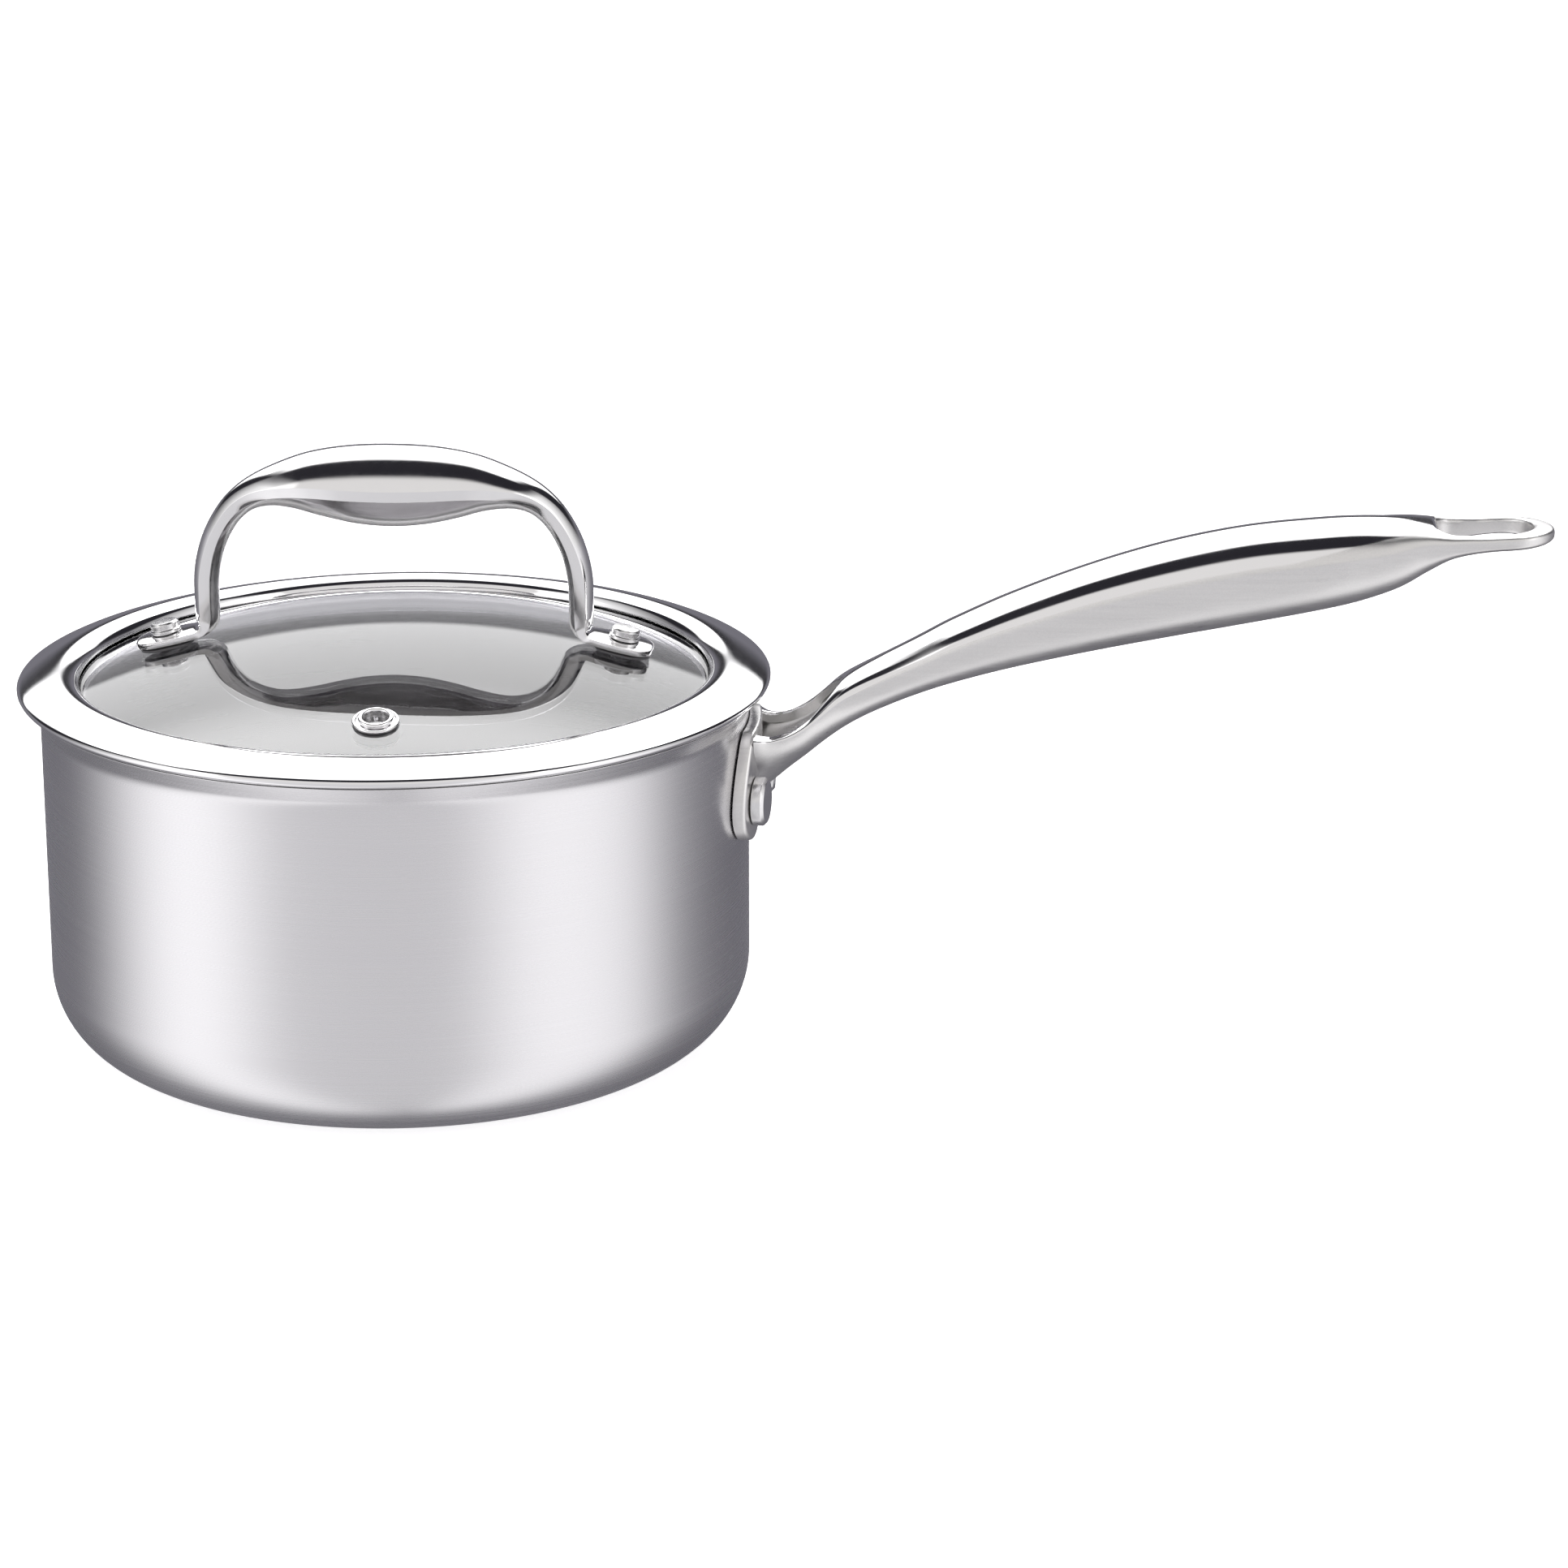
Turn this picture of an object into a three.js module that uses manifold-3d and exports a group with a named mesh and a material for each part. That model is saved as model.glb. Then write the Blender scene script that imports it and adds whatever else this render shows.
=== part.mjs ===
// Saucepan with a domed glass lid, modelled piece by piece.
//
// Frame: millimetres, +Z up, +X along the long handle. The origin is the centre
// of the pan's base, on the plane that the pan stands on.
//
// The pan is a bowl pressed from three-layer clad sheet (steel, aluminium,
// steel) with a cast hollow long handle held by two rivets. The lid is a domed
// glass disc clamped in a rolled steel rim band, with a steam vent and a bridge
// handle riveted through the glass.

import * as THREE from 'three';
import { mergeVertices } from 'three/addons/utils/BufferGeometryUtils.js';
import Module from 'manifold-3d';

const wasm = await Module();
wasm.setup();

// ---------------------------------------------------------------- dimensions
// Pan body
const BODY_R = 80.0;            // outer radius of the straight wall
const WALL_T = 2.5;             // whole clad wall
const OUTER_PLY_T = 0.45;       // outer steel layer
const INNER_PLY_T = 0.45;       // inner steel layer
const PLY_GAP = 0.05;           // modelling gap between bonded layers
const BASE_CORNER_R = 20.0;     // outer radius of the base corner
const FLARE_Z = 79.25;          // where the wall turns out into the pouring flare
const RIM_Z = 84.0;             // trimmed top of the flare
const RIM_R = 83.7;             // outer radius of the trimmed top
const SEG = 40;                 // facets round the pan and lid

// Rivets of the long handle
const RIVET_Y = 12.5;           // each side of the handle's centre line
const RIVET_Z = 60.5;
const RIVET_SHANK_R = 3.0;
const RIVET_HEAD_R = 5.5;
const RIVET_HEAD_T = 2.9;
const RIVET_INNER_HEAD_R = 5.2;
const RIVET_INNER_HEAD_T = 1.5;
const RIVET_HOLE_R = 3.25;

// Handle flange
const FLANGE_IN_R = 80.25;
const FLANGE_OUT_R = 83.1;

// Glass dome
const GLASS_APEX_Z = 97.6;
const GLASS_R = 215.0;          // radius of the dome's top surface
const GLASS_T = 4.0;
const GLASS_EDGE_R = 74.7;
const GLASS_CZ = GLASS_APEX_Z - GLASS_R;

// Feet of the lid handle
const FOOT_X = 51.3;            // rivet centre on the glass, each side
const FOOT_TILT = 12.5;         // degrees, outward lean of foot and rivet
const TAB_BOTTOM = 0.9;         // above the glass, along the leaning axis
const TAB_T = 2.3;
const TAB_HALF_W = 6.2;
const TAB_REACH = 7.0;          // from rivet centre to the tab's round end
const LID_RIVET_R = 2.5;
const LID_RIVET_HEAD_R = 3.25;
const LID_RIVET_HEAD_T = 2.5;

// Steam vent
const VENT_R = 55.3;            // distance from the lid's centre
const VENT_AZ = -86.9;          // degrees from +X
const VENT_BORE_R = 2.8;

const rad = (d) => (d * Math.PI) / 180;

// ------------------------------------------------------------------- helpers
const steel = (color, roughness) => new THREE.MeshStandardMaterial({ color, roughness, metalness: 1.0 });
const MAT = {
  satin: () => steel(0xb9b8bc, 0.34),
  polished: () => steel(0xd6d5d8, 0.12),
  inner: () => steel(0xc4c3c6, 0.30),
  core: () => steel(0xaeb2b8, 0.45),
  rivet: () => steel(0xc0bfc2, 0.40),
  glass: () => new THREE.MeshStandardMaterial({ color: 0xe6ecec, roughness: 0.03, metalness: 0.0, transparent: true, opacity: 0.35 }),
  silicone: () => new THREE.MeshStandardMaterial({ color: 0xd4d2cf, roughness: 0.55, metalness: 0.0 }),
};

// Positions only, shared vertices merged, faces turned outwards.
function clean(geometry) {
  const g = geometry.index ? geometry.toNonIndexed() : geometry.clone();
  for (const name of Object.keys(g.attributes)) if (name !== 'position') g.deleteAttribute(name);
  const m = mergeVertices(g, 1e-4);
  const p = m.attributes.position, idx = Array.from(m.index.array), out = [];
  let vol = 0;
  for (let i = 0; i < idx.length; i += 3) {
    const [a, b, c] = [idx[i], idx[i + 1], idx[i + 2]];
    if (a === b || b === c || a === c) continue;
    out.push(a, b, c);
    const ax = p.getX(a), ay = p.getY(a), az = p.getZ(a);
    const bx = p.getX(b), by = p.getY(b), bz = p.getZ(b);
    const cx = p.getX(c), cy = p.getY(c), cz = p.getZ(c);
    vol += ax * (by * cz - bz * cy) - ay * (bx * cz - bz * cx) + az * (bx * cy - by * cx);
  }
  if (vol < 0) for (let i = 0; i < out.length; i += 3) [out[i + 1], out[i + 2]] = [out[i + 2], out[i + 1]];
  m.setIndex(out);
  return m;
}

function toSolid(geometry) {
  const m = clean(geometry);
  return new wasm.Manifold(new wasm.Mesh({
    numProp: 3,
    vertProperties: new Float32Array(m.attributes.position.array),
    triVerts: new Uint32Array(m.index.array),
  }));
}

function fromSolid(solid) {
  const m = solid.getMesh();
  const g = new THREE.BufferGeometry();
  g.setAttribute('position', new THREE.BufferAttribute(new Float32Array(m.vertProperties), 3));
  g.setIndex(new THREE.BufferAttribute(new Uint32Array(m.triVerts), 1));
  g.computeVertexNormals();
  return g;
}

function mesh(name, geometry, material) {
  const g = geometry.index && !geometry.attributes.uv ? geometry : clean(geometry);
  g.computeVertexNormals();
  const m = new THREE.Mesh(g, material);
  m.name = name;
  return m;
}

// A closed profile in (radius, height), turned about Z.
function turned(profile, segments = SEG) {
  const onAxis = profile[0][0] === 0 && profile[profile.length - 1][0] === 0;
  const pts = profile.map(([r, z]) => new THREE.Vector2(r, z));
  if (!onAxis) pts.push(pts[0].clone());
  return new THREE.LatheGeometry(pts, segments).rotateX(Math.PI / 2);
}

function rod(r, z0, z1, segments = 20) {
  return turned([[0, z0], [r, z0], [r, z1], [0, z1]], segments);
}

// A flat outline pushed from z0 to z1.
function plate(shape, z0, z1, curveSegments = 8) {
  return new THREE.ExtrudeGeometry(shape, { depth: z1 - z0, bevelEnabled: false, curveSegments }).translate(0, 0, z0);
}

// Skin over a list of equal-length rings of points, closed at both ends.
function loft(rings) {
  const n = rings[0].length, pos = [], idx = [];
  rings.forEach((ring) => ring.forEach((p) => pos.push(p[0], p[1], p[2])));
  for (let i = 0; i + 1 < rings.length; i++) {
    for (let j = 0; j < n; j++) {
      const a = i * n + j, b = i * n + (j + 1) % n, c = a + n, d = b + n;
      idx.push(a, b, d, a, d, c);
    }
  }
  for (const [k, flip] of [[0, true], [rings.length - 1, false]]) {
    const c = [0, 0, 0];
    rings[k].forEach((p) => { c[0] += p[0] / n; c[1] += p[1] / n; c[2] += p[2] / n; });
    const ci = pos.length / 3;
    pos.push(...c);
    for (let j = 0; j < n; j++) {
      const a = k * n + j, b = k * n + (j + 1) % n;
      if (flip) idx.push(ci, b, a); else idx.push(ci, a, b);
    }
  }
  const g = new THREE.BufferGeometry();
  g.setAttribute('position', new THREE.Float32BufferAttribute(pos, 3));
  g.setIndex(idx);
  return g;
}

// Smooth value at x from a table of [x, value...] rows (Catmull-Rom).
function table(rows, x) {
  const n = rows.length;
  let i = 0;
  while (i < n - 2 && x > rows[i + 1][0]) i++;
  const p1 = rows[i], p2 = rows[i + 1];
  const p0 = rows[i - 1] || p1, p3 = rows[i + 2] || p2;
  const h = p2[0] - p1[0];
  const t = Math.min(1, Math.max(0, (x - p1[0]) / h));
  return p1.slice(1).map((_, k) => {
    const c = k + 1;
    const m1 = ((p2[c] - p0[c]) / (p2[0] - p0[0])) * h;
    const m2 = p3[0] > p1[0] ? ((p3[c] - p1[c]) / (p3[0] - p1[0])) * h : 0;
    const t2 = t * t, t3 = t2 * t;
    return (2 * t3 - 3 * t2 + 1) * p1[c] + (t3 - 2 * t2 + t) * m1 + (-2 * t3 + 3 * t2) * p2[c] + (t3 - t2) * m2;
  });
}

// ------------------------------------------------------------------ pan bowl
// The bowl's wall at a depth d below the outer skin, from the base centre to
// the trimmed rim: flat base, round corner, straight wall, conical flare.
function bowlSkin(d) {
  const r = BODY_R - d, cr = BASE_CORNER_R - d, cx = BODY_R - BASE_CORNER_R;
  const pts = [[0, d], [cx, d]];
  for (const a of [22.5, 45, 67.5, 90]) pts.push([cx + cr * Math.sin(rad(a)), BASE_CORNER_R - cr * Math.cos(rad(a))]);
  const fx = RIM_R - BODY_R, fz = RIM_Z - FLARE_Z, len = Math.hypot(fx, fz);
  const lean = Math.atan2(fx, fz);
  const kink = FLARE_Z + d * Math.tan(lean / 2);
  pts.push([r, kink]);
  pts.push([r + (RIM_Z - kink) * Math.tan(lean), RIM_Z]);
  return pts;
}

function bowlLayer(d0, d1) {
  return turned([...bowlSkin(d0), ...bowlSkin(d1).reverse()]);
}

// ------------------------------------------------- radial frame of one rivet
function rivetFrame(side) {
  const az = side * Math.asin(RIVET_Y / FLANGE_OUT_R);
  const g = new THREE.Group();
  g.position.set(0, 0, RIVET_Z);
  g.rotation.set(0, 0, az);
  return g;
}
// Turns a shape made along +Z so that it points along the rivet's radius.
function alongRadius(geometry, side) {
  const az = side * Math.asin(RIVET_Y / FLANGE_OUT_R);
  return geometry.rotateY(Math.PI / 2).rotateZ(az).translate(0, 0, RIVET_Z);
}

const rivetBores = [1, -1].map((s) => toSolid(alongRadius(rod(RIVET_HOLE_R, 70, 90), s)));
const drilled = (geometry) => fromSolid(toSolid(geometry).subtract(rivetBores[0]).subtract(rivetBores[1]));

const panGroup = new THREE.Group();
panGroup.name = 'pan';
panGroup.add(mesh('pan_outer_ply', drilled(bowlLayer(0, OUTER_PLY_T)), MAT.satin()));
panGroup.add(mesh('pan_core_ply', drilled(bowlLayer(OUTER_PLY_T + PLY_GAP, WALL_T - INNER_PLY_T - PLY_GAP)), MAT.core()));
panGroup.add(mesh('pan_inner_ply', drilled(bowlLayer(WALL_T - INNER_PLY_T, WALL_T)), MAT.inner()));

// --------------------------------------------------------------- long handle
// Rows: x, top z, bottom z, half width, height of the widest line as a share
// of the section, roundness of the lower half.
const HANDLE = [
  [82.0, 75.6, 59.0, 14.0, 0.95, 1.20],
  [83.6, 75.2, 60.0, 12.8, 0.93, 1.22],
  [86.0, 75.2, 61.9, 12.1, 0.90, 1.30],
  [90.0, 76.6, 65.4, 11.4, 0.84, 1.50],
  [93.5, 78.9, 68.3, 10.6, 0.77, 1.70],
  [97.0, 82.3, 71.3, 9.5, 0.70, 1.85],
  [101.0, 86.1, 74.3, 8.5, 0.65, 1.95],
  [105.0, 88.7, 76.8, 8.0, 0.62, 2.00],
  [110.0, 91.4, 79.4, 7.9, 0.60, 2.00],
  [117.5, 95.2, 82.7, 8.1, 0.60, 2.00],
  [126.0, 99.7, 85.9, 8.6, 0.60, 2.00],
  [139.0, 105.8, 89.8, 9.4, 0.60, 2.00],
  [156.5, 112.7, 94.1, 10.4, 0.60, 2.00],
  [173.7, 118.1, 97.8, 11.0, 0.60, 2.00],
  [191.0, 121.9, 101.3, 11.3, 0.60, 2.00],
  [208.0, 123.9, 105.1, 11.2, 0.60, 2.00],
  [217.0, 124.4, 107.6, 10.9, 0.62, 2.00],
  [225.6, 124.3, 110.9, 10.6, 0.66, 2.10],
  [231.0, 123.9, 113.9, 10.4, 0.70, 2.30],
  [236.0, 123.4, 116.6, 10.2, 0.60, 2.60],
  [242.0, 123.2, 118.2, 10.1, 0.50, 2.80],
  [248.0, 123.5, 118.9, 10.1, 0.50, 2.80],
  [252.0, 123.7, 119.2, 9.4, 0.50, 2.80],
  [255.0, 123.6, 119.4, 7.9, 0.50, 2.70],
  [257.3, 123.3, 119.6, 5.8, 0.50, 2.60],
  [258.8, 122.6, 120.2, 3.0, 0.50, 2.40],
  [259.2, 121.9, 120.9, 1.2, 0.50, 2.20],
];
const LOOP_X0 = 233.2, LOOP_X1 = 251.6, LOOP_HALF = 6.1;
const TROUGH_TIP_X = 101.0;

// One section across the handle: a flat-crowned top, and a lower half whose
// roundness runs from a keel (near 1) to a full belly (2 and over).
function handleSection(x, inset = 0) {
  const [zt0, zb0, w0, hw, nb] = table(HANDLE, x);
  const zt = zt0 - inset, zb = zb0 + inset * 1.15, w = w0 - inset;
  const zw = zb + (zt - zb) * hw, ring = [], N = 16;
  for (let i = 0; i < N; i++) {
    const a = (i / N) * 2 * Math.PI, c = Math.cos(a), s = Math.sin(a);
    const n = s >= 0 ? 2.6 : nb;
    const y = w * Math.sign(c) * Math.abs(c) ** (2 / n);
    const z = zw + (s >= 0 ? zt - zw : zw - zb) * Math.sign(s) * Math.abs(s) ** (2 / n);
    ring.push([x, y, z]);
  }
  return ring;
}

const handleStations = [82, 84, 87, 90, 93.5, 97, 101, 105, 111, 119, 130, 143, 158, 174,
  190, 204, 215, 223.5, 230, 235.5, 241, 247, 251, 254, 256.4, 258.2, 259.2];
let handle = toSolid(loft(handleStations.map((x) => handleSection(x))));

// Flange: a shield-shaped plate bent to the pan's wall.
const flangeOutline = new THREE.Shape();
flangeOutline.moveTo(0, 52.6);
flangeOutline.lineTo(8.4, 52.55);
flangeOutline.absarc(12.5, 59.8, 8.2, rad(-119), rad(12), false);
flangeOutline.quadraticCurveTo(19.5, 67.2, 15.6, 72.6);
flangeOutline.quadraticCurveTo(13.8, 75.6, 11.2, 76.4);
flangeOutline.lineTo(-11.2, 76.4);
flangeOutline.quadraticCurveTo(-13.8, 75.6, -15.6, 72.6);
flangeOutline.quadraticCurveTo(-19.5, 67.2, -20.52, 61.5);
flangeOutline.absarc(-12.5, 59.8, 8.2, rad(168), rad(299), false);
flangeOutline.lineTo(0, 52.6);
// The outline is drawn in (y, z); it is pushed along x.
const flangeBlock = plate(flangeOutline, 70, 90, 10)
  .applyMatrix4(new THREE.Matrix4().makeBasis(new THREE.Vector3(0, 1, 0), new THREE.Vector3(0, 0, 1), new THREE.Vector3(1, 0, 0)));
const bandSegments = 72;
const flangeBand = turned([[FLANGE_IN_R, 40], [FLANGE_OUT_R, 40], [FLANGE_OUT_R, 90], [FLANGE_IN_R, 90]], bandSegments);
const flange = toSolid(flangeBlock).intersect(toSolid(flangeBand));
const insideWall = toSolid(rod(FLANGE_IN_R, 30, 100, bandSegments));
handle = handle.add(flange).subtract(insideWall);

// The hollow: open on top as a trough beside the pan, then running on inside.
const hollowStations = [83.9, 87, 90, 93.5, 97, 101, 106, 114, 127, 145, 165, 187, 207];
const hollow = toSolid(loft(hollowStations.map((x) => handleSection(x, 2.35))));
const mouth = new THREE.Shape();
mouth.moveTo(83.9, -9.4);
mouth.lineTo(89.5, -9.2);
mouth.bezierCurveTo(94.5, -8.8, 98.6, -5.6, TROUGH_TIP_X, -1.2);
mouth.quadraticCurveTo(TROUGH_TIP_X + 0.6, 0, TROUGH_TIP_X, 1.2);
mouth.bezierCurveTo(98.6, 5.6, 94.5, 8.8, 89.5, 9.2);
mouth.lineTo(83.9, 9.4);
mouth.lineTo(83.9, -9.4);
// Above the hollow's own widest line only, so that the trough keeps its round
// floor: the mouth's prism is met with a loft that fills the space above it.
const aboveHollow = toSolid(loft(hollowStations.slice(0, 7).map((x) => {
  const [zt, zb, , hw] = table(HANDLE, x);
  const z0 = zb + 2.7 + (zt - 2.35 - (zb + 2.7)) * hw;
  return [[x, 12, z0], [x, 12, 100], [x, -12, 100], [x, -12, z0]];
})));
const mouthCut = toSolid(plate(mouth, 60, 99, 6)).intersect(aboveHollow);
handle = handle.subtract(hollow).subtract(mouthCut);

// Hanging loop's hole and the rivet bores.
const eye = new THREE.Shape();
eye.moveTo(LOOP_X0, -2.8);
eye.quadraticCurveTo(LOOP_X0 + 0.4, -LOOP_HALF + 0.2, LOOP_X0 + 4.2, -LOOP_HALF);
eye.lineTo(LOOP_X1 - LOOP_HALF, -LOOP_HALF);
eye.absarc(LOOP_X1 - LOOP_HALF, 0, LOOP_HALF, rad(-90), rad(90), false);
eye.lineTo(LOOP_X0 + 4.2, LOOP_HALF);
eye.quadraticCurveTo(LOOP_X0 + 0.4, LOOP_HALF - 0.2, LOOP_X0, 2.8);
eye.lineTo(LOOP_X0, -2.8);
handle = handle.subtract(toSolid(plate(eye, 100, 140, 8)));
handle = handle.subtract(rivetBores[0]).subtract(rivetBores[1]);
panGroup.add(mesh('long_handle', fromSolid(handle), MAT.polished()));

// Rivets: chamfered outer head, shank through flange and wall, low inner head.
for (const [name, side] of [['handle_rivet_near', -1], ['handle_rivet_far', 1]]) {
  const r0 = BODY_R - WALL_T - 0.55, r1 = FLANGE_OUT_R + 0.12;
  const profile = [
    [0, r0 - RIVET_INNER_HEAD_T], [3.4, r0 - RIVET_INNER_HEAD_T + 0.15], [RIVET_INNER_HEAD_R, r0 - 0.7], [RIVET_INNER_HEAD_R, r0],
    [RIVET_SHANK_R, r0], [RIVET_SHANK_R, r1],
    [RIVET_HEAD_R, r1], [RIVET_HEAD_R, r1 + RIVET_HEAD_T - 0.7], [RIVET_HEAD_R - 0.8, r1 + RIVET_HEAD_T], [0, r1 + RIVET_HEAD_T],
  ];
  const frame = rivetFrame(side);
  frame.add(mesh(name, turned(profile, 20).rotateY(Math.PI / 2), MAT.rivet()));
  panGroup.add(frame);
}

// ----------------------------------------------------------------------- lid
const lidGroup = new THREE.Group();
lidGroup.name = 'lid';
const glassTop = (r) => GLASS_CZ + Math.sqrt(GLASS_R ** 2 - r * r);
const glassUnder = (r) => GLASS_CZ + Math.sqrt((GLASS_R - GLASS_T) ** 2 - r * r);

// A frame standing on the glass at (x, y), leaning outward by a given angle.
function standOnGlass(x, y, leanDeg) {
  const g = new THREE.Group();
  const r = Math.hypot(x, y), az = Math.atan2(y, x);
  const m = new THREE.Matrix4().makeTranslation(x, y, glassTop(r))
    .multiply(new THREE.Matrix4().makeRotationZ(az))
    .multiply(new THREE.Matrix4().makeRotationY(rad(leanDeg)));
  g.applyMatrix4(m);
  return { g, m };
}

const footL = standOnGlass(-FOOT_X, 0, FOOT_TILT);
const footR = standOnGlass(FOOT_X, 0, FOOT_TILT);
const ventX = VENT_R * Math.cos(rad(VENT_AZ)), ventY = VENT_R * Math.sin(rad(VENT_AZ));
const ventLean = (Math.asin(VENT_R / GLASS_R) * 180) / Math.PI;
const vent = standOnGlass(ventX, ventY, ventLean);

// Glass: domed top and underside, ground edge, three holes.
{
  const rs = [0, 17, 33, 47, 59, 68, GLASS_EDGE_R];
  const profile = [...rs.map((r) => [r, glassUnder(r)]), ...rs.slice().reverse().map((r) => [r, glassTop(r)])];
  let glass = toSolid(turned(profile));
  for (const f of [footL, footR]) glass = glass.subtract(toSolid(rod(3.5, -9, 5, 16).applyMatrix4(f.m)));
  glass = glass.subtract(toSolid(rod(4.4, -9, 5, 24).applyMatrix4(vent.m)));
  lidGroup.add(mesh('lid_glass', fromSolid(glass), MAT.glass()));
}

// Rim band: one strip of sheet rolled from the lip over the glass, across the
// wide polished crown, round the outer bead, back under to rest on the pan's
// rim, down as a skirt inside the pan and in below the glass.
{
  const line = [
    [71.4, 85.95], [72.7, 86.95], [74.6, 87.6], [77.4, 87.65], [81.0, 87.15], [83.6, 86.4],
    [84.65, 85.5], [83.7, 84.55], [77.3, 84.55], [76.15, 83.6],
    [76.1, 79.6], [75.3, 78.8], [73.5, 78.75],
  ];
  const T = 0.6, left = [], right = [];
  line.forEach((p, i) => {
    const a = line[Math.max(0, i - 1)], b = line[Math.min(line.length - 1, i + 1)];
    const d1 = i > 0 ? [p[0] - a[0], p[1] - a[1]] : [b[0] - p[0], b[1] - p[1]];
    const d2 = i < line.length - 1 ? [b[0] - p[0], b[1] - p[1]] : d1;
    const u1 = Math.hypot(...d1), u2 = Math.hypot(...d2);
    const n1 = [-d1[1] / u1, d1[0] / u1], n2 = [-d2[1] / u2, d2[0] / u2];
    let n = [n1[0] + n2[0], n1[1] + n2[1]];
    const l = Math.hypot(...n);
    n = [n[0] / l, n[1] / l];
    const k = T / 2 / Math.max(0.6, n[0] * n1[0] + n[1] * n1[1]);
    left.push([p[0] + n[0] * k, p[1] + n[1] * k]);
    right.push([p[0] - n[0] * k, p[1] - n[1] * k]);
  });
  lidGroup.add(mesh('lid_rim_band', turned([...left, ...right.reverse()]), MAT.polished()));
}

// Cushion between the ground edge of the glass and the rim band.
lidGroup.add(mesh('lid_rim_seal', turned([
  [73.5, 79.3], [74.8, 79.3], [75.55, 80.05], [75.55, 84.0], [74.95, 84.0], [74.95, 79.75], [73.5, 80.15],
]), MAT.silicone()));

// Bridge handle: rows along the centre line from the right tab's end over the
// grip to the left one, mirrored: [outer point], [inner point], half width,
// height of the edge band.
const tabN = [Math.sin(rad(FOOT_TILT)), Math.cos(rad(FOOT_TILT))];
const tabT = [Math.cos(rad(FOOT_TILT)), -Math.sin(rad(FOOT_TILT))];
const tabMid = [FOOT_X + tabN[0] * (TAB_BOTTOM + TAB_T / 2), glassTop(FOOT_X) + tabN[1] * (TAB_BOTTOM + TAB_T / 2)];
const LEG_X = 42.4, BEND_R = 3.0;
const halfHandle = [];
for (const [s, w] of [[TAB_REACH, 1.6], [TAB_REACH - 0.5, 3.2], [TAB_REACH - 1.6, 4.8], [TAB_REACH - 3.4, 5.9],
  [TAB_REACH - 6.2, TAB_HALF_W], [-3.0, 6.0], [-5.6, 5.4]]) {
  const c = [tabMid[0] + tabT[0] * s, tabMid[1] + tabT[1] * s];
  halfHandle.push({ c, n: tabN, w, t: s > TAB_REACH - 1 ? TAB_T / 2 - 0.25 : TAB_T / 2, b: 1.4 });
}
{
  const cx = LEG_X + BEND_R;
  const x1 = cx - BEND_R * tabN[0];
  const k = (tabMid[0] - x1) / tabT[0];
  const zc = tabMid[1] - tabT[1] * k + BEND_R * tabN[1];
  for (const [f, w, t] of [[0, 5.0, 1.15], [0.33, 4.5, 1.5], [0.66, 4.2, 2.1], [1, 4.05, 2.65]]) {
    const a = rad(90 - FOOT_TILT) * (1 - f);
    const n = [Math.cos(a), Math.sin(a)];
    halfHandle.push({ c: [cx - BEND_R * n[0], zc - BEND_R * n[1]], n, w, t, b: 1.4 + 0.9 * f });
  }
}
for (const [ox, oz, ix, iz, w, b] of [
  [45.2, 103.0, 39.65, 103.0, 4.0, 2.4],
  [45.15, 108.0, 39.4, 108.0, 4.0, 2.4],
  [44.4, 112.8, 38.3, 113.4, 4.05, 2.4],
  [42.9, 117.7, 36.3, 118.0, 4.15, 2.4],
  [40.6, 122.3, 33.9, 121.4, 4.3, 2.4],
  [37.3, 126.8, 31.0, 123.6, 4.7, 2.4],
  [32.6, 130.7, 27.4, 124.5, 5.8, 2.4],
  [26.4, 133.9, 22.0, 124.1, 7.7, 2.4],
  [18.6, 136.7, 15.6, 122.4, 9.8, 2.4],
  [9.6, 138.2, 8.0, 120.8, 11.5, 2.4],
]) {
  const c = [(ox + ix) / 2, (oz + iz) / 2], d = [ox - ix, oz - iz], l = Math.hypot(...d);
  halfHandle.push({ c, n: [d[0] / l, d[1] / l], w, t: l / 2, b });
}
const gripMiddle = { c: [0, (138.6 + 120.2) / 2], n: [0, 1], w: 12.0, t: (138.6 - 120.2) / 2, b: 2.4 };
const lidHandleRows = [...halfHandle, gripMiddle,
  ...halfHandle.slice().reverse().map((s) => ({ ...s, c: [-s.c[0], s.c[1]], n: [-s.n[0], s.n[1]] }))];

// One section: crowned outer face, short edge band, crowned inner face.
function lidHandleSection({ c, n, w, t, b }) {
  const h = Math.min(b / 2, t * 0.62), ring = [];
  const at = (y, u) => [c[0] + n[0] * u, y, c[1] + n[1] * u];
  for (const k of [1, 0.86, 0.5, 0, -0.5, -0.86, -1]) ring.push(at(w * k, h + (t - h) * (1 - Math.abs(k) ** 2.2)));
  for (const k of [-1, -0.86, -0.5, 0, 0.5, 0.86, 1]) ring.push(at(w * k, -h - (t - h) * (1 - Math.abs(k) ** 2.2)));
  return ring;
}
{
  let g = toSolid(loft(lidHandleRows.map(lidHandleSection)));
  for (const f of [footL, footR]) g = g.subtract(toSolid(rod(LID_RIVET_R + 0.3, -1, 9, 16).applyMatrix4(f.m)));
  lidGroup.add(mesh('lid_handle', fromSolid(g), MAT.polished()));
}

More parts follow.
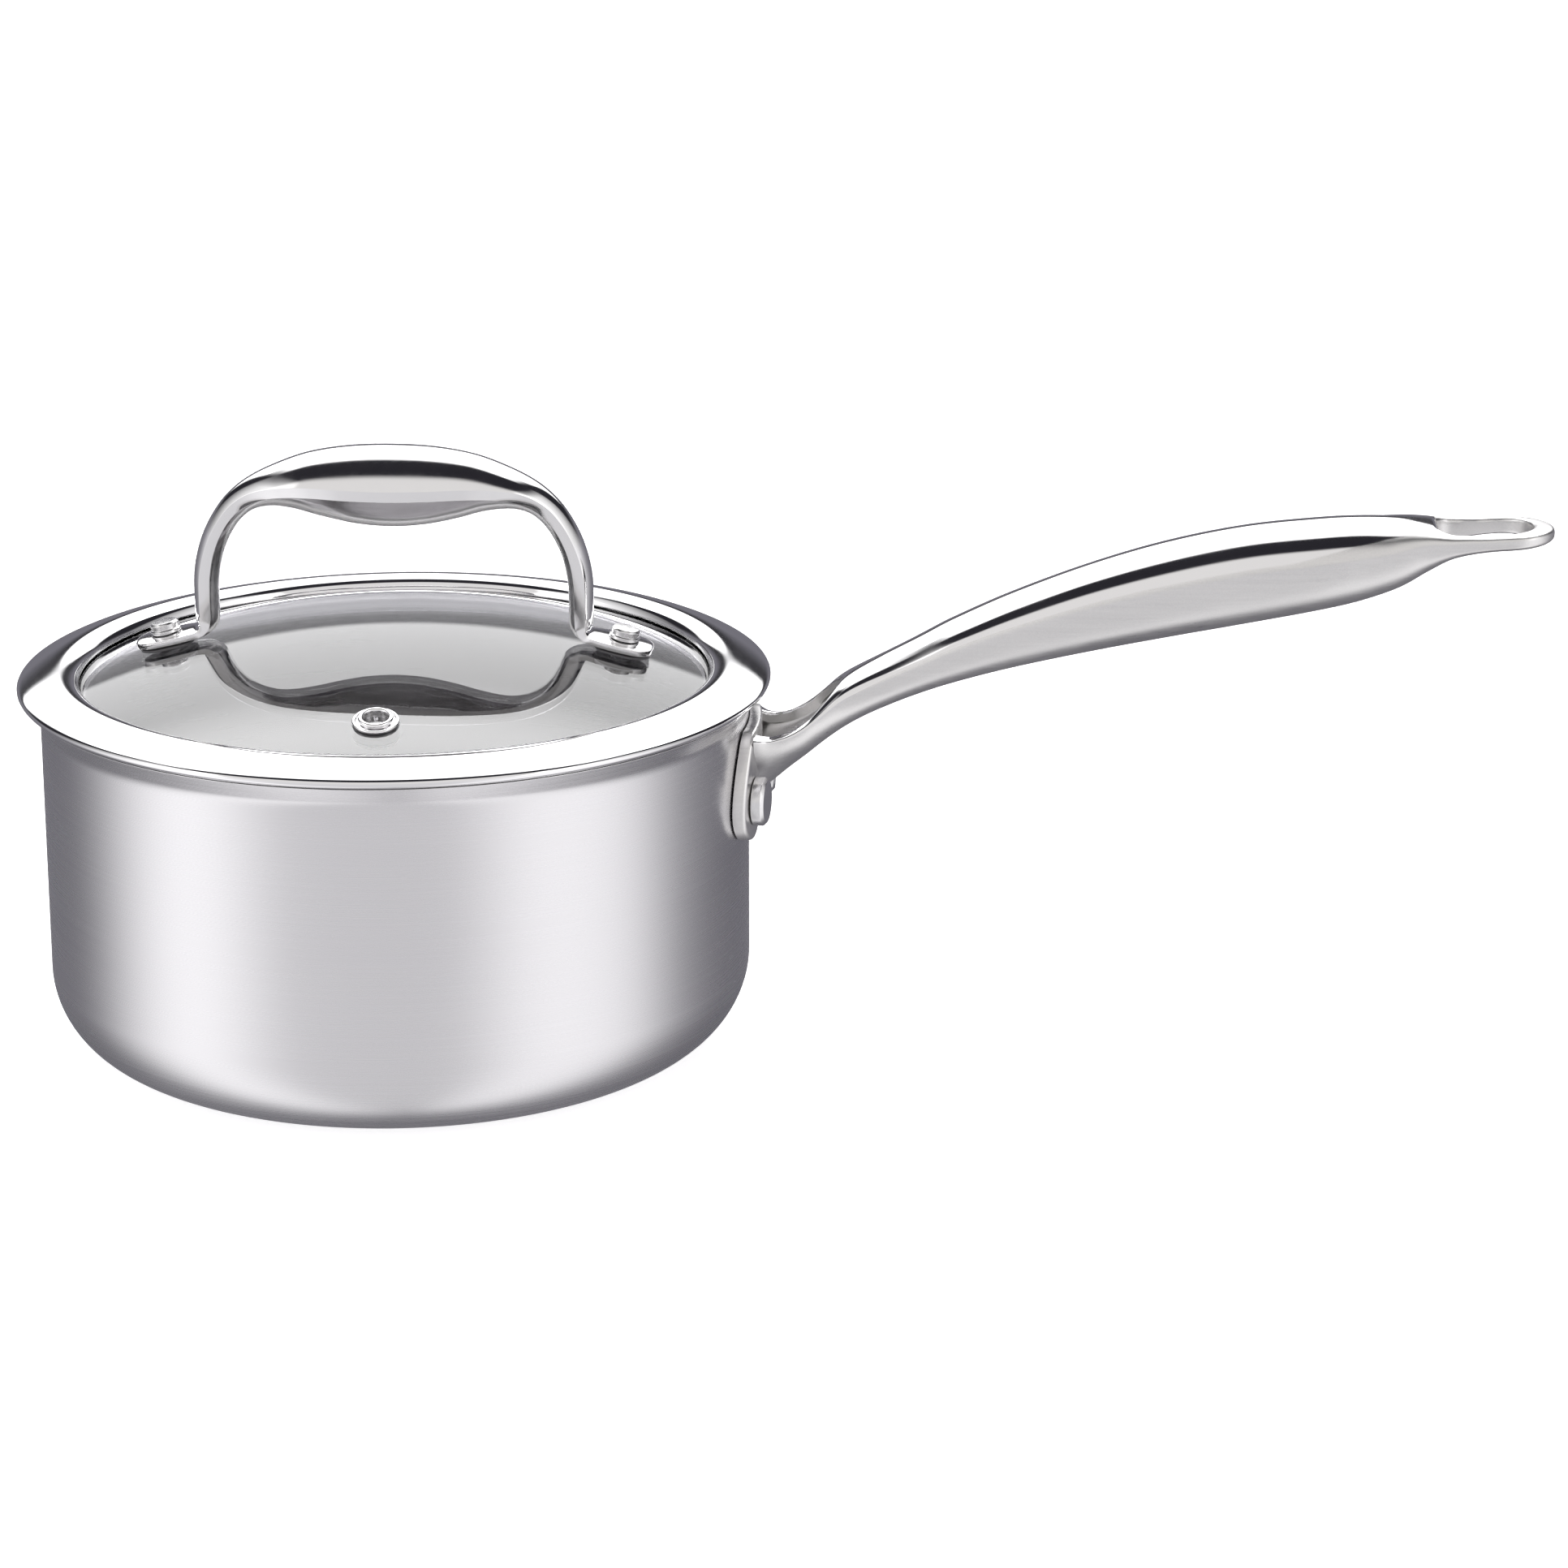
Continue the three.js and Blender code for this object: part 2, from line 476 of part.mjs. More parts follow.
// Stack at each foot: rivet, gasket over the glass, gasket and washer below.
for (const [side, foot, sign] of [['left', footL, 1], ['right', footR, 1]]) {
  const h0 = TAB_BOTTOM + TAB_T + 0.1, h1 = h0 + LID_RIVET_HEAD_T;
  const rivet = turned([
    [0, -7.4], [2.4, -7.4], [3.7, -6.9], [3.7, -6.15], [LID_RIVET_R, -6.15], [LID_RIVET_R, h0],
    [3.5, h0], [3.5, h0 + 0.7], [LID_RIVET_HEAD_R, h0 + 0.95], [LID_RIVET_HEAD_R, h1 - 0.5], [LID_RIVET_HEAD_R - 0.5, h1], [0, h1],
  ], 20);
  foot.g.add(mesh(`lid_rivet_${side}`, rivet, MAT.rivet()));

  const outline = new THREE.Shape();
  const e = TAB_REACH - 0.3, hw = TAB_HALF_W - 0.25;
  outline.moveTo(-4.4, -5.2);
  outline.lineTo(e - hw, -hw);
  outline.absarc(e - hw, 0, hw, rad(-90), rad(90), false);
  outline.lineTo(-4.4, 5.2);
  outline.quadraticCurveTo(-6.2, 3.2, -6.2, 0);
  outline.quadraticCurveTo(-6.2, -3.2, -4.4, -5.2);
  const hole = new THREE.Path();
  hole.absarc(0, 0, LID_RIVET_R + 0.3, 0, 2 * Math.PI, true);
  outline.holes.push(hole);
  foot.g.add(mesh(`foot_gasket_${side}`, plate(outline, 0.25, 0.8, 8), MAT.silicone()));
  foot.g.add(mesh(`under_gasket_${side}`, turned([[2.8, -5.05], [6.0, -5.05], [6.0, -4.5], [2.8, -4.5]], 20), MAT.silicone()));
  foot.g.add(mesh(`under_washer_${side}`, turned([[2.75, -6.05], [5.6, -6.05], [5.6, -5.15], [2.75, -5.15]], 20), MAT.rivet()));
  lidGroup.add(foot.g);
}

// Steam vent: a stepped eyelet, rolled over a washer below, in a grommet.
{
  const b = VENT_BORE_R, tube = b + 0.5, bore = tube + 0.15;
  vent.g.add(mesh('steam_vent_eyelet', turned([
    [b, -6.3], [4.7, -6.3], [4.7, -5.9], [tube, -5.8], [tube, 0.3], [5.2, 0.2], [4.95, 0.65], [4.55, 0.98],
    [4.2, 0.95], [3.9, 0.75], [3.75, 1.3], [3.4, 1.75], [3.0, 1.7], [b, 1.2],
  ], 24), MAT.polished()));
  vent.g.add(mesh('steam_vent_grommet', turned([
    [bore, -4.98], [5.6, -4.98], [5.6, -4.42], [4.15, -4.42], [4.15, 0.05], [bore, 0.05],
  ], 24), MAT.silicone()));
  vent.g.add(mesh('steam_vent_washer', turned([
    [bore, -5.65], [5.2, -5.65], [5.2, -5.1], [bore, -5.1],
  ], 24), MAT.rivet()));
  lidGroup.add(vent.g);
}

const saucepan = new THREE.Group();
saucepan.name = 'saucepan';
saucepan.add(panGroup, lidGroup);

export default saucepan;
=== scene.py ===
import math

import bpy
import numpy as np
from mathutils import Matrix, Vector


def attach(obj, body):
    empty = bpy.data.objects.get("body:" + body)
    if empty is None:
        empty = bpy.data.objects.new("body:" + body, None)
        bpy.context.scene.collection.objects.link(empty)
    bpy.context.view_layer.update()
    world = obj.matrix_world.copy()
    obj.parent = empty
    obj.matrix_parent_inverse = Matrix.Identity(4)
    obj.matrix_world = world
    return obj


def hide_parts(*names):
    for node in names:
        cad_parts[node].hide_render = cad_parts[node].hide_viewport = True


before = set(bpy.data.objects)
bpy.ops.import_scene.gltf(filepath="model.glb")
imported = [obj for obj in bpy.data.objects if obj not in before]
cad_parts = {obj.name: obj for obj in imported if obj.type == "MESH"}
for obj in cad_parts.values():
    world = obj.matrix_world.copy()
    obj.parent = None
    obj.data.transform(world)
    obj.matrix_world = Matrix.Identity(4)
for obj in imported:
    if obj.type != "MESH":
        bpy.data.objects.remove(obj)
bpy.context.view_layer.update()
MM = 0.001
rad = math.radians

# ------------------------------------------------------------------ mesh tools


def build(name, verts, faces, mats, body, node, sharp=38.0, face_mats=None, uvs=None):
    """A closed mesh from millimetre points, riding on a body in place of a CAD node."""
    me = bpy.data.meshes.new(name)
    me.from_pydata([(x * MM, y * MM, z * MM) for x, y, z in verts], [], [tuple(int(i) for i in f) for f in faces])
    me.validate()
    for m in mats if isinstance(mats, (list, tuple)) else [mats]:
        me.materials.append(m)
    if face_mats is not None:
        me.polygons.foreach_set("material_index", np.array(face_mats, np.int32))
    ob = bpy.data.objects.new(name, me)
    bpy.context.scene.collection.objects.link(ob)
    me.shade_smooth()
    if sharp is not None:
        me.set_sharp_from_angle(angle=rad(sharp))
    if uvs is not None:
        layer = me.uv_layers.new(name="UVMap")
        loops = np.zeros(len(me.loops), np.int32)
        me.loops.foreach_get("vertex_index", loops)
        layer.data.foreach_set("uv", np.asarray(uvs, np.float32)[loops].ravel())
    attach(ob, body)
    if node:
        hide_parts(*(node if isinstance(node, (list, tuple)) else [node]))
    return ob


def outward(verts, faces):
    v = np.asarray(verts, float)
    vol = 0.0
    for f in faces:
        a = v[f[0]]
        for i in range(1, len(f) - 1):
            vol += np.dot(a, np.cross(v[f[i]], v[f[i + 1]]))
    return faces if vol > 0 else [tuple(reversed(f)) for f in faces]


def rounded(pts, radius, n=4, closed=True, keep=25.0):
    """Rounds the corners of a 2-D polygon sharper than keep degrees."""
    pts = [np.array(p, float) for p in pts]
    rs = radius if isinstance(radius, (list, tuple)) else [radius] * len(pts)
    out, m = [], len(pts)
    for i, p in enumerate(pts):
        if not closed and i in (0, m - 1):
            out.append(tuple(p))
            continue
        a, b = pts[i - 1] - p, pts[(i + 1) % m] - p
        la, lb = np.linalg.norm(a), np.linalg.norm(b)
        if la < 1e-9 or lb < 1e-9 or rs[i] <= 0 or abs(p[0]) < 1e-9:
            out.append(tuple(p))
            continue
        a, b = a / la, b / lb
        ang = math.acos(max(-1, min(1, float(a @ b))))
        if math.degrees(math.pi - ang) < keep:
            out.append(tuple(p))
            continue
        t = min(rs[i] / math.tan(ang / 2), la * 0.45, lb * 0.45)
        p0, p1 = p + a * t, p + b * t
        for k in range(n + 1):
            u = k / n
            out.append(tuple((1 - u) ** 2 * p0 + 2 * u * (1 - u) * p + u * u * p1))
    return out


def lathe(profile, seg=256, matrix=None):
    """Turns a closed profile of (radius, height) about Z. Points on the axis become one vertex."""
    verts, rows = [], []
    for r, z in profile:
        if r < 1e-6:
            rows.append([len(verts)] * seg)
            verts.append((0.0, 0.0, z))
        else:
            rows.append(list(range(len(verts), len(verts) + seg)))
            verts += [(r * math.cos(2 * math.pi * j / seg), r * math.sin(2 * math.pi * j / seg), z) for j in range(seg)]
    faces, n = [], len(rows)
    for i in range(n):
        a, b = rows[i], rows[(i + 1) % n]
        if a[0] == a[1] and b[0] == b[1]:
            continue
        for j in range(seg):
            k = (j + 1) % seg
            f = []
            for q in (a[j], a[k], b[k], b[j]):
                if q not in f:
                    f.append(q)
            faces.append(tuple(f))
    faces = outward(verts, faces)
    if matrix is not None:
        verts = [tuple(matrix @ Vector(v)) for v in verts]
    return verts, faces


def spline(points, n):
    """n points along a Catmull-Rom curve, spaced by chord length."""
    p = np.array(points, float)
    s = np.r_[0, np.cumsum(np.linalg.norm(np.diff(p, axis=0), axis=1))]
    m = np.zeros_like(p)
    m[1:-1] = (p[2:] - p[:-2]) / (s[2:] - s[:-2])[:, None]
    m[0] = (p[1] - p[0]) / (s[1] - s[0])
    m[-1] = (p[-1] - p[-2]) / (s[-1] - s[-2])
    u = np.linspace(0, s[-1], n)
    i = np.clip(np.searchsorted(s, u, side="right") - 1, 0, len(p) - 2)
    h = s[i + 1] - s[i]
    t = (u - s[i]) / h
    t2, t3 = t * t, t * t * t
    return (
        (2 * t3 - 3 * t2 + 1)[:, None] * p[i]
        + ((t3 - 2 * t2 + t) * h)[:, None] * m[i]
        + (-2 * t3 + 3 * t2)[:, None] * p[i + 1]
        + ((t3 - t2) * h)[:, None] * m[i + 1]
    )


def table(rows, x):
    """Smooth values at x from rows of [x, value...]."""
    i = 0
    while i < len(rows) - 2 and x > rows[i + 1][0]:
        i += 1
    p1, p2 = rows[i], rows[i + 1]
    p0, p3 = rows[i - 1] if i else p1, rows[i + 2] if i + 2 < len(rows) else p2
    h = p2[0] - p1[0]
    t = min(1.0, max(0.0, (x - p1[0]) / h))
    out = []
    for c in range(1, len(p1)):
        m1 = (p2[c] - p0[c]) / (p2[0] - p0[0]) * h
        m2 = (p3[c] - p1[c]) / (p3[0] - p1[0]) * h if p3[0] > p1[0] else 0
        t2, t3 = t * t, t * t * t
        out.append((2 * t3 - 3 * t2 + 1) * p1[c] + (t3 - 2 * t2 + t) * m1 + (-2 * t3 + 3 * t2) * p2[c] + (t3 - t2) * m2)
    return out


# ------------------------------------------------------------------- materials


class Tree:
    """Short calls for a node tree."""

    def __init__(self, tree):
        self.t = tree
        self.t.nodes.clear()

    def node(self, kind, **props):
        n = self.t.nodes.new(kind)
        for k, v in props.items():
            setattr(n, k, v)
        return n

    def put(self, socket, value):
        if isinstance(value, bpy.types.NodeSocket):
            self.t.links.new(value, socket)
        elif value is not None:
            socket.default_value = value

    def math(self, op, a, b=None, c=None, clamp=False):
        n = self.node("ShaderNodeMath", operation=op, use_clamp=clamp)
        for s, v in zip(n.inputs, (a, b, c)):
            self.put(s, v)
        return n.outputs[0]

    def remap(self, v, a, b, c=0.0, d=1.0, kind="LINEAR"):
        n = self.node("ShaderNodeMapRange", interpolation_type=kind)
        for s, x in zip(n.inputs, (v, a, b, c, d)):
            self.put(s, x)
        return n.outputs[0]

    def noise(self, vector, scale, detail=2.0, rough=0.5):
        n = self.node("ShaderNodeTexNoise")
        self.put(n.inputs["Vector"], vector)
        n.inputs["Scale"].default_value = scale
        n.inputs["Detail"].default_value = detail
        n.inputs["Roughness"].default_value = rough
        return n.outputs["Fac"]

    def xyz(self, x, y, z):
        n = self.node("ShaderNodeCombineXYZ")
        for s, v in zip(n.inputs, (x, y, z)):
            self.put(s, v)
        return n.outputs[0]

    def split(self, v):
        n = self.node("ShaderNodeSeparateXYZ")
        self.put(n.inputs[0], v)
        return n.outputs

    def scaled(self, vector, scale):
        n = self.node("ShaderNodeMapping")
        self.put(n.inputs["Vector"], vector)
        n.inputs["Scale"].default_value = scale
        return n.outputs[0]

    def mix(self, fac, a, b):
        n = self.node("ShaderNodeMix", data_type="RGBA")
        self.put(n.inputs[0], fac)
        for s, v in ((n.inputs[6], a), (n.inputs[7], b)):
            self.put(s, (*v, 1.0) if isinstance(v, tuple) and len(v) == 3 else v)
        return n.outputs[2]

    def bump(self, height, strength, distance, normal=None):
        n = self.node("ShaderNodeBump")
        n.inputs["Strength"].default_value = strength
        n.inputs["Distance"].default_value = distance
        self.put(n.inputs["Height"], height)
        if normal is not None:
            self.put(n.inputs["Normal"], normal)
        return n.outputs[0]


def material(name, view=(0.7, 0.7, 0.7)):
    m = bpy.data.materials.new(name)
    m.use_nodes = True
    m.diffuse_color = (*view, 1)
    t = Tree(m.node_tree)
    out = t.node("ShaderNodeOutputMaterial")
    sh = t.node("ShaderNodeBsdfPrincipled")
    m.node_tree.links.new(sh.outputs[0], out.inputs[0])
    obj = t.node("ShaderNodeTexCoord").outputs["Object"]
    return m, t, sh, obj


def metal(name, color, rough, grain="turned", streak=0.05, wide=0.03, tint=0.04, bump=0.05, aniso=0.0, fine=1.0, painted_shade=None):
    """Steel with a directional grain.
    turned: lines round the Z axis; along: lines along X; disc: rings on a flat floor; cast: no direction."""
    m, t, sh, obj = material(name, color)
    x, y, z = t.split(obj)
    r = t.math("SQRT", t.math("ADD", t.math("MULTIPLY", x, x), t.math("MULTIPLY", y, y)))
    if grain == "turned":
        lines = t.xyz(t.math("MULTIPLY", x, 9.0), t.math("MULTIPLY", y, 9.0), t.math("MULTIPLY", t.math("ADD", z, t.math("MULTIPLY", r, 0.7)), 1500.0 * fine))
    elif grain == "disc":
        lines = t.xyz(t.math("MULTIPLY", x, 6.0), t.math("MULTIPLY", y, 6.0), t.math("MULTIPLY", t.math("ADD", r, z), 1300.0 * fine))
    elif grain == "along":
        lines = t.xyz(t.math("MULTIPLY", x, 16.0), t.math("MULTIPLY", y, 1300.0 * fine), t.math("MULTIPLY", z, 1300.0 * fine))
    else:
        lines = t.scaled(obj, (900.0 * fine, 900.0 * fine, 900.0 * fine))
    line = t.noise(lines, 1.0, 3.0, 0.6)
    hand = t.noise(t.scaled(obj, (28, 28, 28)), 1.0, 4.0, 0.55)
    mark = t.noise(t.scaled(obj, (150, 150, 420)), 1.0, 2.0, 0.5)
    rr = t.math("ADD", t.remap(line, 0.25, 0.75, rough - streak, rough + streak), t.remap(hand, 0.3, 0.7, -wide, wide))
    rr = t.math("ADD", rr, t.remap(mark, 0.62, 0.78, 0.0, wide * 0.8), clamp=True)
    t.put(sh.inputs["Roughness"], rr)
    lo = tuple(max(0.0, c * (1 - tint)) for c in color)
    hi = tuple(min(1.0, c * (1 + tint)) for c in color)
    both = t.math("ADD", t.math("MULTIPLY", line, 0.6), t.math("MULTIPLY", hand, 0.4))
    tone = t.mix(t.remap(both, 0.3, 0.7), lo, hi)
    # Painted shade: the base colour is scaled down with height, from full at the first given height to the given factor
    # at the second.
    if painted_shade:
        n = t.node("ShaderNodeVectorMath", operation="SCALE")
        t.put(n.inputs[0], tone)
        t.put(n.inputs["Scale"], t.remap(z, painted_shade[0], painted_shade[1], 1.0, painted_shade[2]))
        tone = n.outputs[0]
    t.put(sh.inputs["Base Color"], tone)
    sh.inputs["Metallic"].default_value = 1.0
    if bump:
        t.put(sh.inputs["Normal"], t.bump(line, bump, 0.00002))
    if aniso:
        sh.inputs["Anisotropic"].default_value = aniso
        sh.inputs["Anisotropic Rotation"].default_value = 0.25
        tan = t.node("ShaderNodeTangent", direction_type="RADIAL", axis="Z")
        t.put(sh.inputs["Tangent"], tan.outputs[0])
    return m


SATIN = metal("satin_wall", (0.70, 0.692, 0.705), 0.27, "turned", 0.03, 0.01, 0.016, 0.02, aniso=0.75, fine=1.4)
CORE = metal("aluminium_edge", (0.74, 0.745, 0.76), 0.42, "turned", 0.06, 0.03, 0.05, 0.15)
# Painted shade: the inside wall's colour darkens with height, to 0.26 of full from 8 mm up to 40 mm, standing in for
# shade and dark reflection on the upper inside wall.
INNER = metal("satin_inside", (0.82, 0.80, 0.79), 0.30, "disc", 0.04, 0.03, 0.03, 0.04, painted_shade=(0.008, 0.04, 0.26))
MIRROR = metal("mirror_steel", (0.80, 0.795, 0.80), 0.055, "turned", 0.012, 0.012, 0.012, 0.012)
# Painted shade: the rim roll's colour drops from full at 84.6 mm to 0.28 of full at 83.8 mm and below, darkening its
# inner skirt seen through the glass in place of its dark reflection.
RIMSTEEL = metal("rim_steel", (0.80, 0.795, 0.805), 0.05, "turned", 0.012, 0.012, 0.012, 0.012, painted_shade=(0.0846, 0.0838, 0.28))
GRIP = metal("polished_grip", (0.79, 0.785, 0.79), 0.085, "cast", 0.015, 0.02, 0.012, 0.012, fine=0.5)
RIVET = metal("rivet_steel", (0.72, 0.715, 0.72), 0.22, "cast", 0.06, 0.05, 0.05, 0.16)
WASHER = metal("washer_steel", (0.66, 0.66, 0.67), 0.30, "cast", 0.06, 0.05, 0.05, 0.15)


def handle_steel():
    """Polished crown fading to a lengthwise satin on the sides, by a painted mask."""
    m, t, sh, obj = material("handle_steel", (0.75, 0.75, 0.75))
    x, y, z = t.split(obj)
    mask = t.node("ShaderNodeAttribute", attribute_name="polish").outputs["Fac"]
    line = t.noise(t.xyz(t.math("MULTIPLY", x, 18.0), t.math("MULTIPLY", y, 1500.0), t.math("MULTIPLY", z, 1500.0)), 1.0, 3.0, 0.6)
    hand = t.noise(t.scaled(obj, (40, 60, 60)), 1.0, 4.0, 0.55)
    fine = t.noise(t.scaled(obj, (2600, 2600, 2600)), 1.0, 2.0, 0.5)
    satin = t.math("ADD", t.remap(line, 0.25, 0.75, 0.27, 0.37), t.remap(hand, 0.3, 0.7, -0.03, 0.03))
    bright = t.math("ADD", t.remap(line, 0.25, 0.75, 0.06, 0.085), t.remap(hand, 0.35, 0.7, -0.01, 0.02))
    edge = t.remap(t.math("ADD", mask, t.remap(hand, 0.3, 0.7, -0.03, 0.03)), 0.35, 0.65, kind="SMOOTHSTEP")
    n = t.node("ShaderNodeMix", data_type="FLOAT")
    t.put(n.inputs[0], edge), t.put(n.inputs[2], satin), t.put(n.inputs[3], bright)
    t.put(sh.inputs["Roughness"], n.outputs[0])
    grey = t.mix(t.remap(t.math("ADD", t.math("MULTIPLY", line, 0.5), t.math("MULTIPLY", fine, 0.5)), 0.3, 0.7), (0.655, 0.648, 0.645), (0.73, 0.722, 0.715))
    t.put(sh.inputs["Base Color"], t.mix(edge, grey, t.mix(hand, (0.79, 0.785, 0.79), (0.82, 0.815, 0.82))))
    sh.inputs["Metallic"].default_value = 1.0
    b = t.node("ShaderNodeBump")
    b.inputs["Distance"].default_value = 0.00002
    t.put(b.inputs["Height"], t.math("ADD", line, t.math("MULTIPLY", fine, 0.6)))
    t.put(b.inputs["Strength"], t.remap(edge, 0, 1, 0.14, 0.01))
    t.put(sh.inputs["Normal"], b.outputs[0])
    return m


HANDLE_STEEL = handle_steel()


def glass():
    m, t, sh, obj = material("lid_glass", (0.9, 0.92, 0.92))
    haze = t.noise(t.scaled(obj, (45, 45, 45)), 1.0, 4.0, 0.6)
    wipe = t.noise(t.scaled(obj, (500, 90, 200)), 1.0, 2.0, 0.5)
    t.put(sh.inputs["Roughness"], t.math("ADD", t.remap(haze, 0.45, 0.75, 0.0, 0.012), t.remap(wipe, 0.5, 0.8, 0.0, 0.008)))
    t.put(sh.inputs["Base Color"], t.mix(haze, (0.775, 0.77, 0.80), (0.80, 0.795, 0.82)))
    sh.inputs["Transmission Weight"].default_value = 1.0
    sh.inputs["IOR"].default_value = 1.62
    return m


GLASS = glass()


def rubber(name, a, b):
    m, t, sh, obj = material(name, a)
    cloud = t.noise(t.scaled(obj, (260, 260, 260)), 1.0, 4.0, 0.6)
    grain = t.noise(t.scaled(obj, (3200, 3200, 3200)), 1.0, 2.0, 0.5)
    t.put(sh.inputs["Base Color"], t.mix(cloud, a, b))
    t.put(sh.inputs["Roughness"], t.remap(cloud, 0.3, 0.7, 0.38, 0.52))
    t.put(sh.inputs["Normal"], t.bump(grain, 0.2, 0.00004))
    return m


SILICONE = rubber("dark_silicone", (0.085, 0.083, 0.088), (0.12, 0.117, 0.122))

# ------------------------------------------------------------------- pan bowl
BODY_R, WALL_T, FLARE_Z, RIM_Z, RIM_R, CORNER = 80.0, 2.5, 79.25, 84.0, 83.7, 20.0


def skin(d, top=RIM_Z):
    """The bowl's wall at depth d, centre to rim, with a soft bend into the flare."""
    cx, cr = BODY_R - CORNER, CORNER - d
    pts = [(0.0, d)] + [(cx * k / 6, d) for k in range(1, 7)]
    pts += [(cx + cr * math.sin(a), CORNER - cr * math.cos(a)) for a in np.linspace(0, math.pi / 2, 25)[1:]]
    r = BODY_R - d
    lean = math.atan2(RIM_R - BODY_R, RIM_Z - FLARE_Z)
    kink = FLARE_Z + d * math.tan(lean / 2)
    top_pt = np.array([r + (top - kink) * math.tan(lean), top])
    k = np.array([r, kink])
    p0, p1 = k - np.array([0, 1.5]), k + (top_pt - k) / np.linalg.norm(top_pt - k) * 1.5
    pts += [(r, z) for z in np.linspace(CORNER + 6, kink - 3, 9)]
    pts += [tuple((1 - u) ** 2 * p0 + 2 * u * (1 - u) * k + u * u * p1) for u in np.linspace(0, 1, 8)]
    pts.append(tuple(top_pt))
    return pts


for name, d0, d1, mat, slot_name in (
    ("pan_outer_skin", 0.0, 0.45, SATIN, "satin_steel"),
    ("pan_core_skin", 0.5, 2.0, CORE, "aluminium_core"),
    ("pan_inner_skin", 2.05, 2.5, INNER, "inner_steel"),
):
    outline = skin(d0) + skin(d1)[::-1]
    v, f = lathe(rounded(outline, 0.12, 3, keep=40), 288)
    node = {"pan_outer_skin": "pan_outer_ply", "pan_core_skin": "pan_core_ply", "pan_inner_skin": "pan_inner_ply"}[name]
    build(name, v, f, mat, "pan", node)

# ----------------------------------------------------------------- long handle
HANDLE = [
    [82.0, 75.6, 59.0, 14.6, 0.95, 1.20], [83.0, 75.3, 59.6, 13.6, 0.94, 1.21], [84.2, 75.15, 60.5, 12.75, 0.92, 1.24],
    [86.0, 75.2, 61.9, 12.1, 0.90, 1.30], [90.0, 76.6, 65.4, 11.4, 0.84, 1.50],
    [93.5, 78.9, 68.3, 10.6, 0.77, 1.70], [97.0, 82.3, 71.3, 9.5, 0.70, 1.85], [101.0, 86.1, 74.3, 8.6, 0.66, 1.95],
    [105.0, 88.7, 76.8, 8.2, 0.64, 2.00], [110.0, 91.4, 79.3, 8.2, 0.63, 2.00], [117.5, 95.2, 82.5, 8.6, 0.62, 2.00],
    [126.0, 99.7, 85.5, 9.3, 0.62, 2.00], [139.0, 105.8, 89.2, 10.3, 0.62, 2.00], [156.5, 112.7, 93.3, 11.4, 0.62, 2.00],
    [173.7, 118.1, 96.9, 12.4, 0.62, 2.00], [191.0, 121.9, 100.3, 12.6, 0.62, 2.00], [208.0, 123.9, 103.8, 12.4, 0.62, 2.00],
    [217.0, 124.4, 106.1, 11.7, 0.63, 2.00], [225.6, 124.3, 109.5, 11.1, 0.66, 2.10], [231.0, 123.9, 113.1, 10.6, 0.69, 2.30],
    [236.0, 123.4, 116.3, 10.25, 0.60, 2.60], [242.0, 123.2, 118.2, 10.12, 0.50, 2.60], [249.08, 123.55, 119.0, 10.12, 0.50, 2.60],
    [259.2, 124.0, 119.5, 10.12, 0.50, 2.60],
]
TIP_C, TIP_R = 249.08, 10.1
LOOP_X0, LOOP_X1, LOOP_H = 233.2, 254.6, 7.3
MOUTH_TIP = 101.6


def hole_half(x):
    """Half width of the hanging hole at x: straight sides, round outer end, soft inner corners."""
    if not LOOP_X0 < x < LOOP_X1:
        return 0.0
    u = x - LOOP_X0
    a = LOOP_H if u > 4.2 else 3.2 + (LOOP_H - 3.2) * math.sqrt(max(0.0, 1 - (1 - u / 4.2) ** 2))
    c = LOOP_X1 - LOOP_H
    b = LOOP_H if x < c else math.sqrt(max(0.0, LOOP_H**2 - (x - c) ** 2))
    return min(a, b)


def mouth_half(x):
    """Half width of the trough's opening at x."""
    if x >= MOUTH_TIP:
        return 0.0
    if x < 89.5:
        return 9.3 - 0.1 * (x - 84) / 5.5
    u = (x - 89.5) / (MOUTH_TIP - 89.5)
    return 9.2 * (1 - u**2.1) ** 0.72


def outline_points(half, xa, xb, n=160):
    xs = xa + (xb - xa) * (1 - np.cos(np.linspace(0, math.pi, n))) / 2
    return np.array([(x, half(x)) for x in xs])


HOLE_LINE = outline_points(hole_half, LOOP_X0 + 1e-4, LOOP_X1 - 1e-4)
HOLE_LINE = np.vstack([[(LOOP_X0, y) for y in np.linspace(0, 3.2, 12)], HOLE_LINE])
MOUTH_LINE = outline_points(mouth_half, 78.0, MOUTH_TIP)


def section(x, inset=0.0):
    zt, zb, w, hw, nb = table(HANDLE, x)
    zt += 0.5 * min(1.0, max(0.0, (x - 108) / 16)) * min(1.0, max(0.0, (236 - x) / 10))
    zt, zb, w = zt - inset, zb + inset * 1.15, w - inset
    return zt, zb, w, zb + (zt - zb) * hw, nb




def crown(x):
    """How square the crown is at x: soft shoulders along the grip, flat and crisp on the loop."""
    a = min(1.0, max(0.0, (x - 92) / 20))
    b = min(1.0, max(0.0, (x - 222) / 18))
    return (2.7 - 0.7 * a) * (1 - b) + 4.2 * b, (0.37 + 0.28 * a) * (1 - b) + 0.24 * b


UP, DN, WALLN, RIM = 26, 26, 6, (0.0, 0.07, 0.27, 0.6, 1.0)


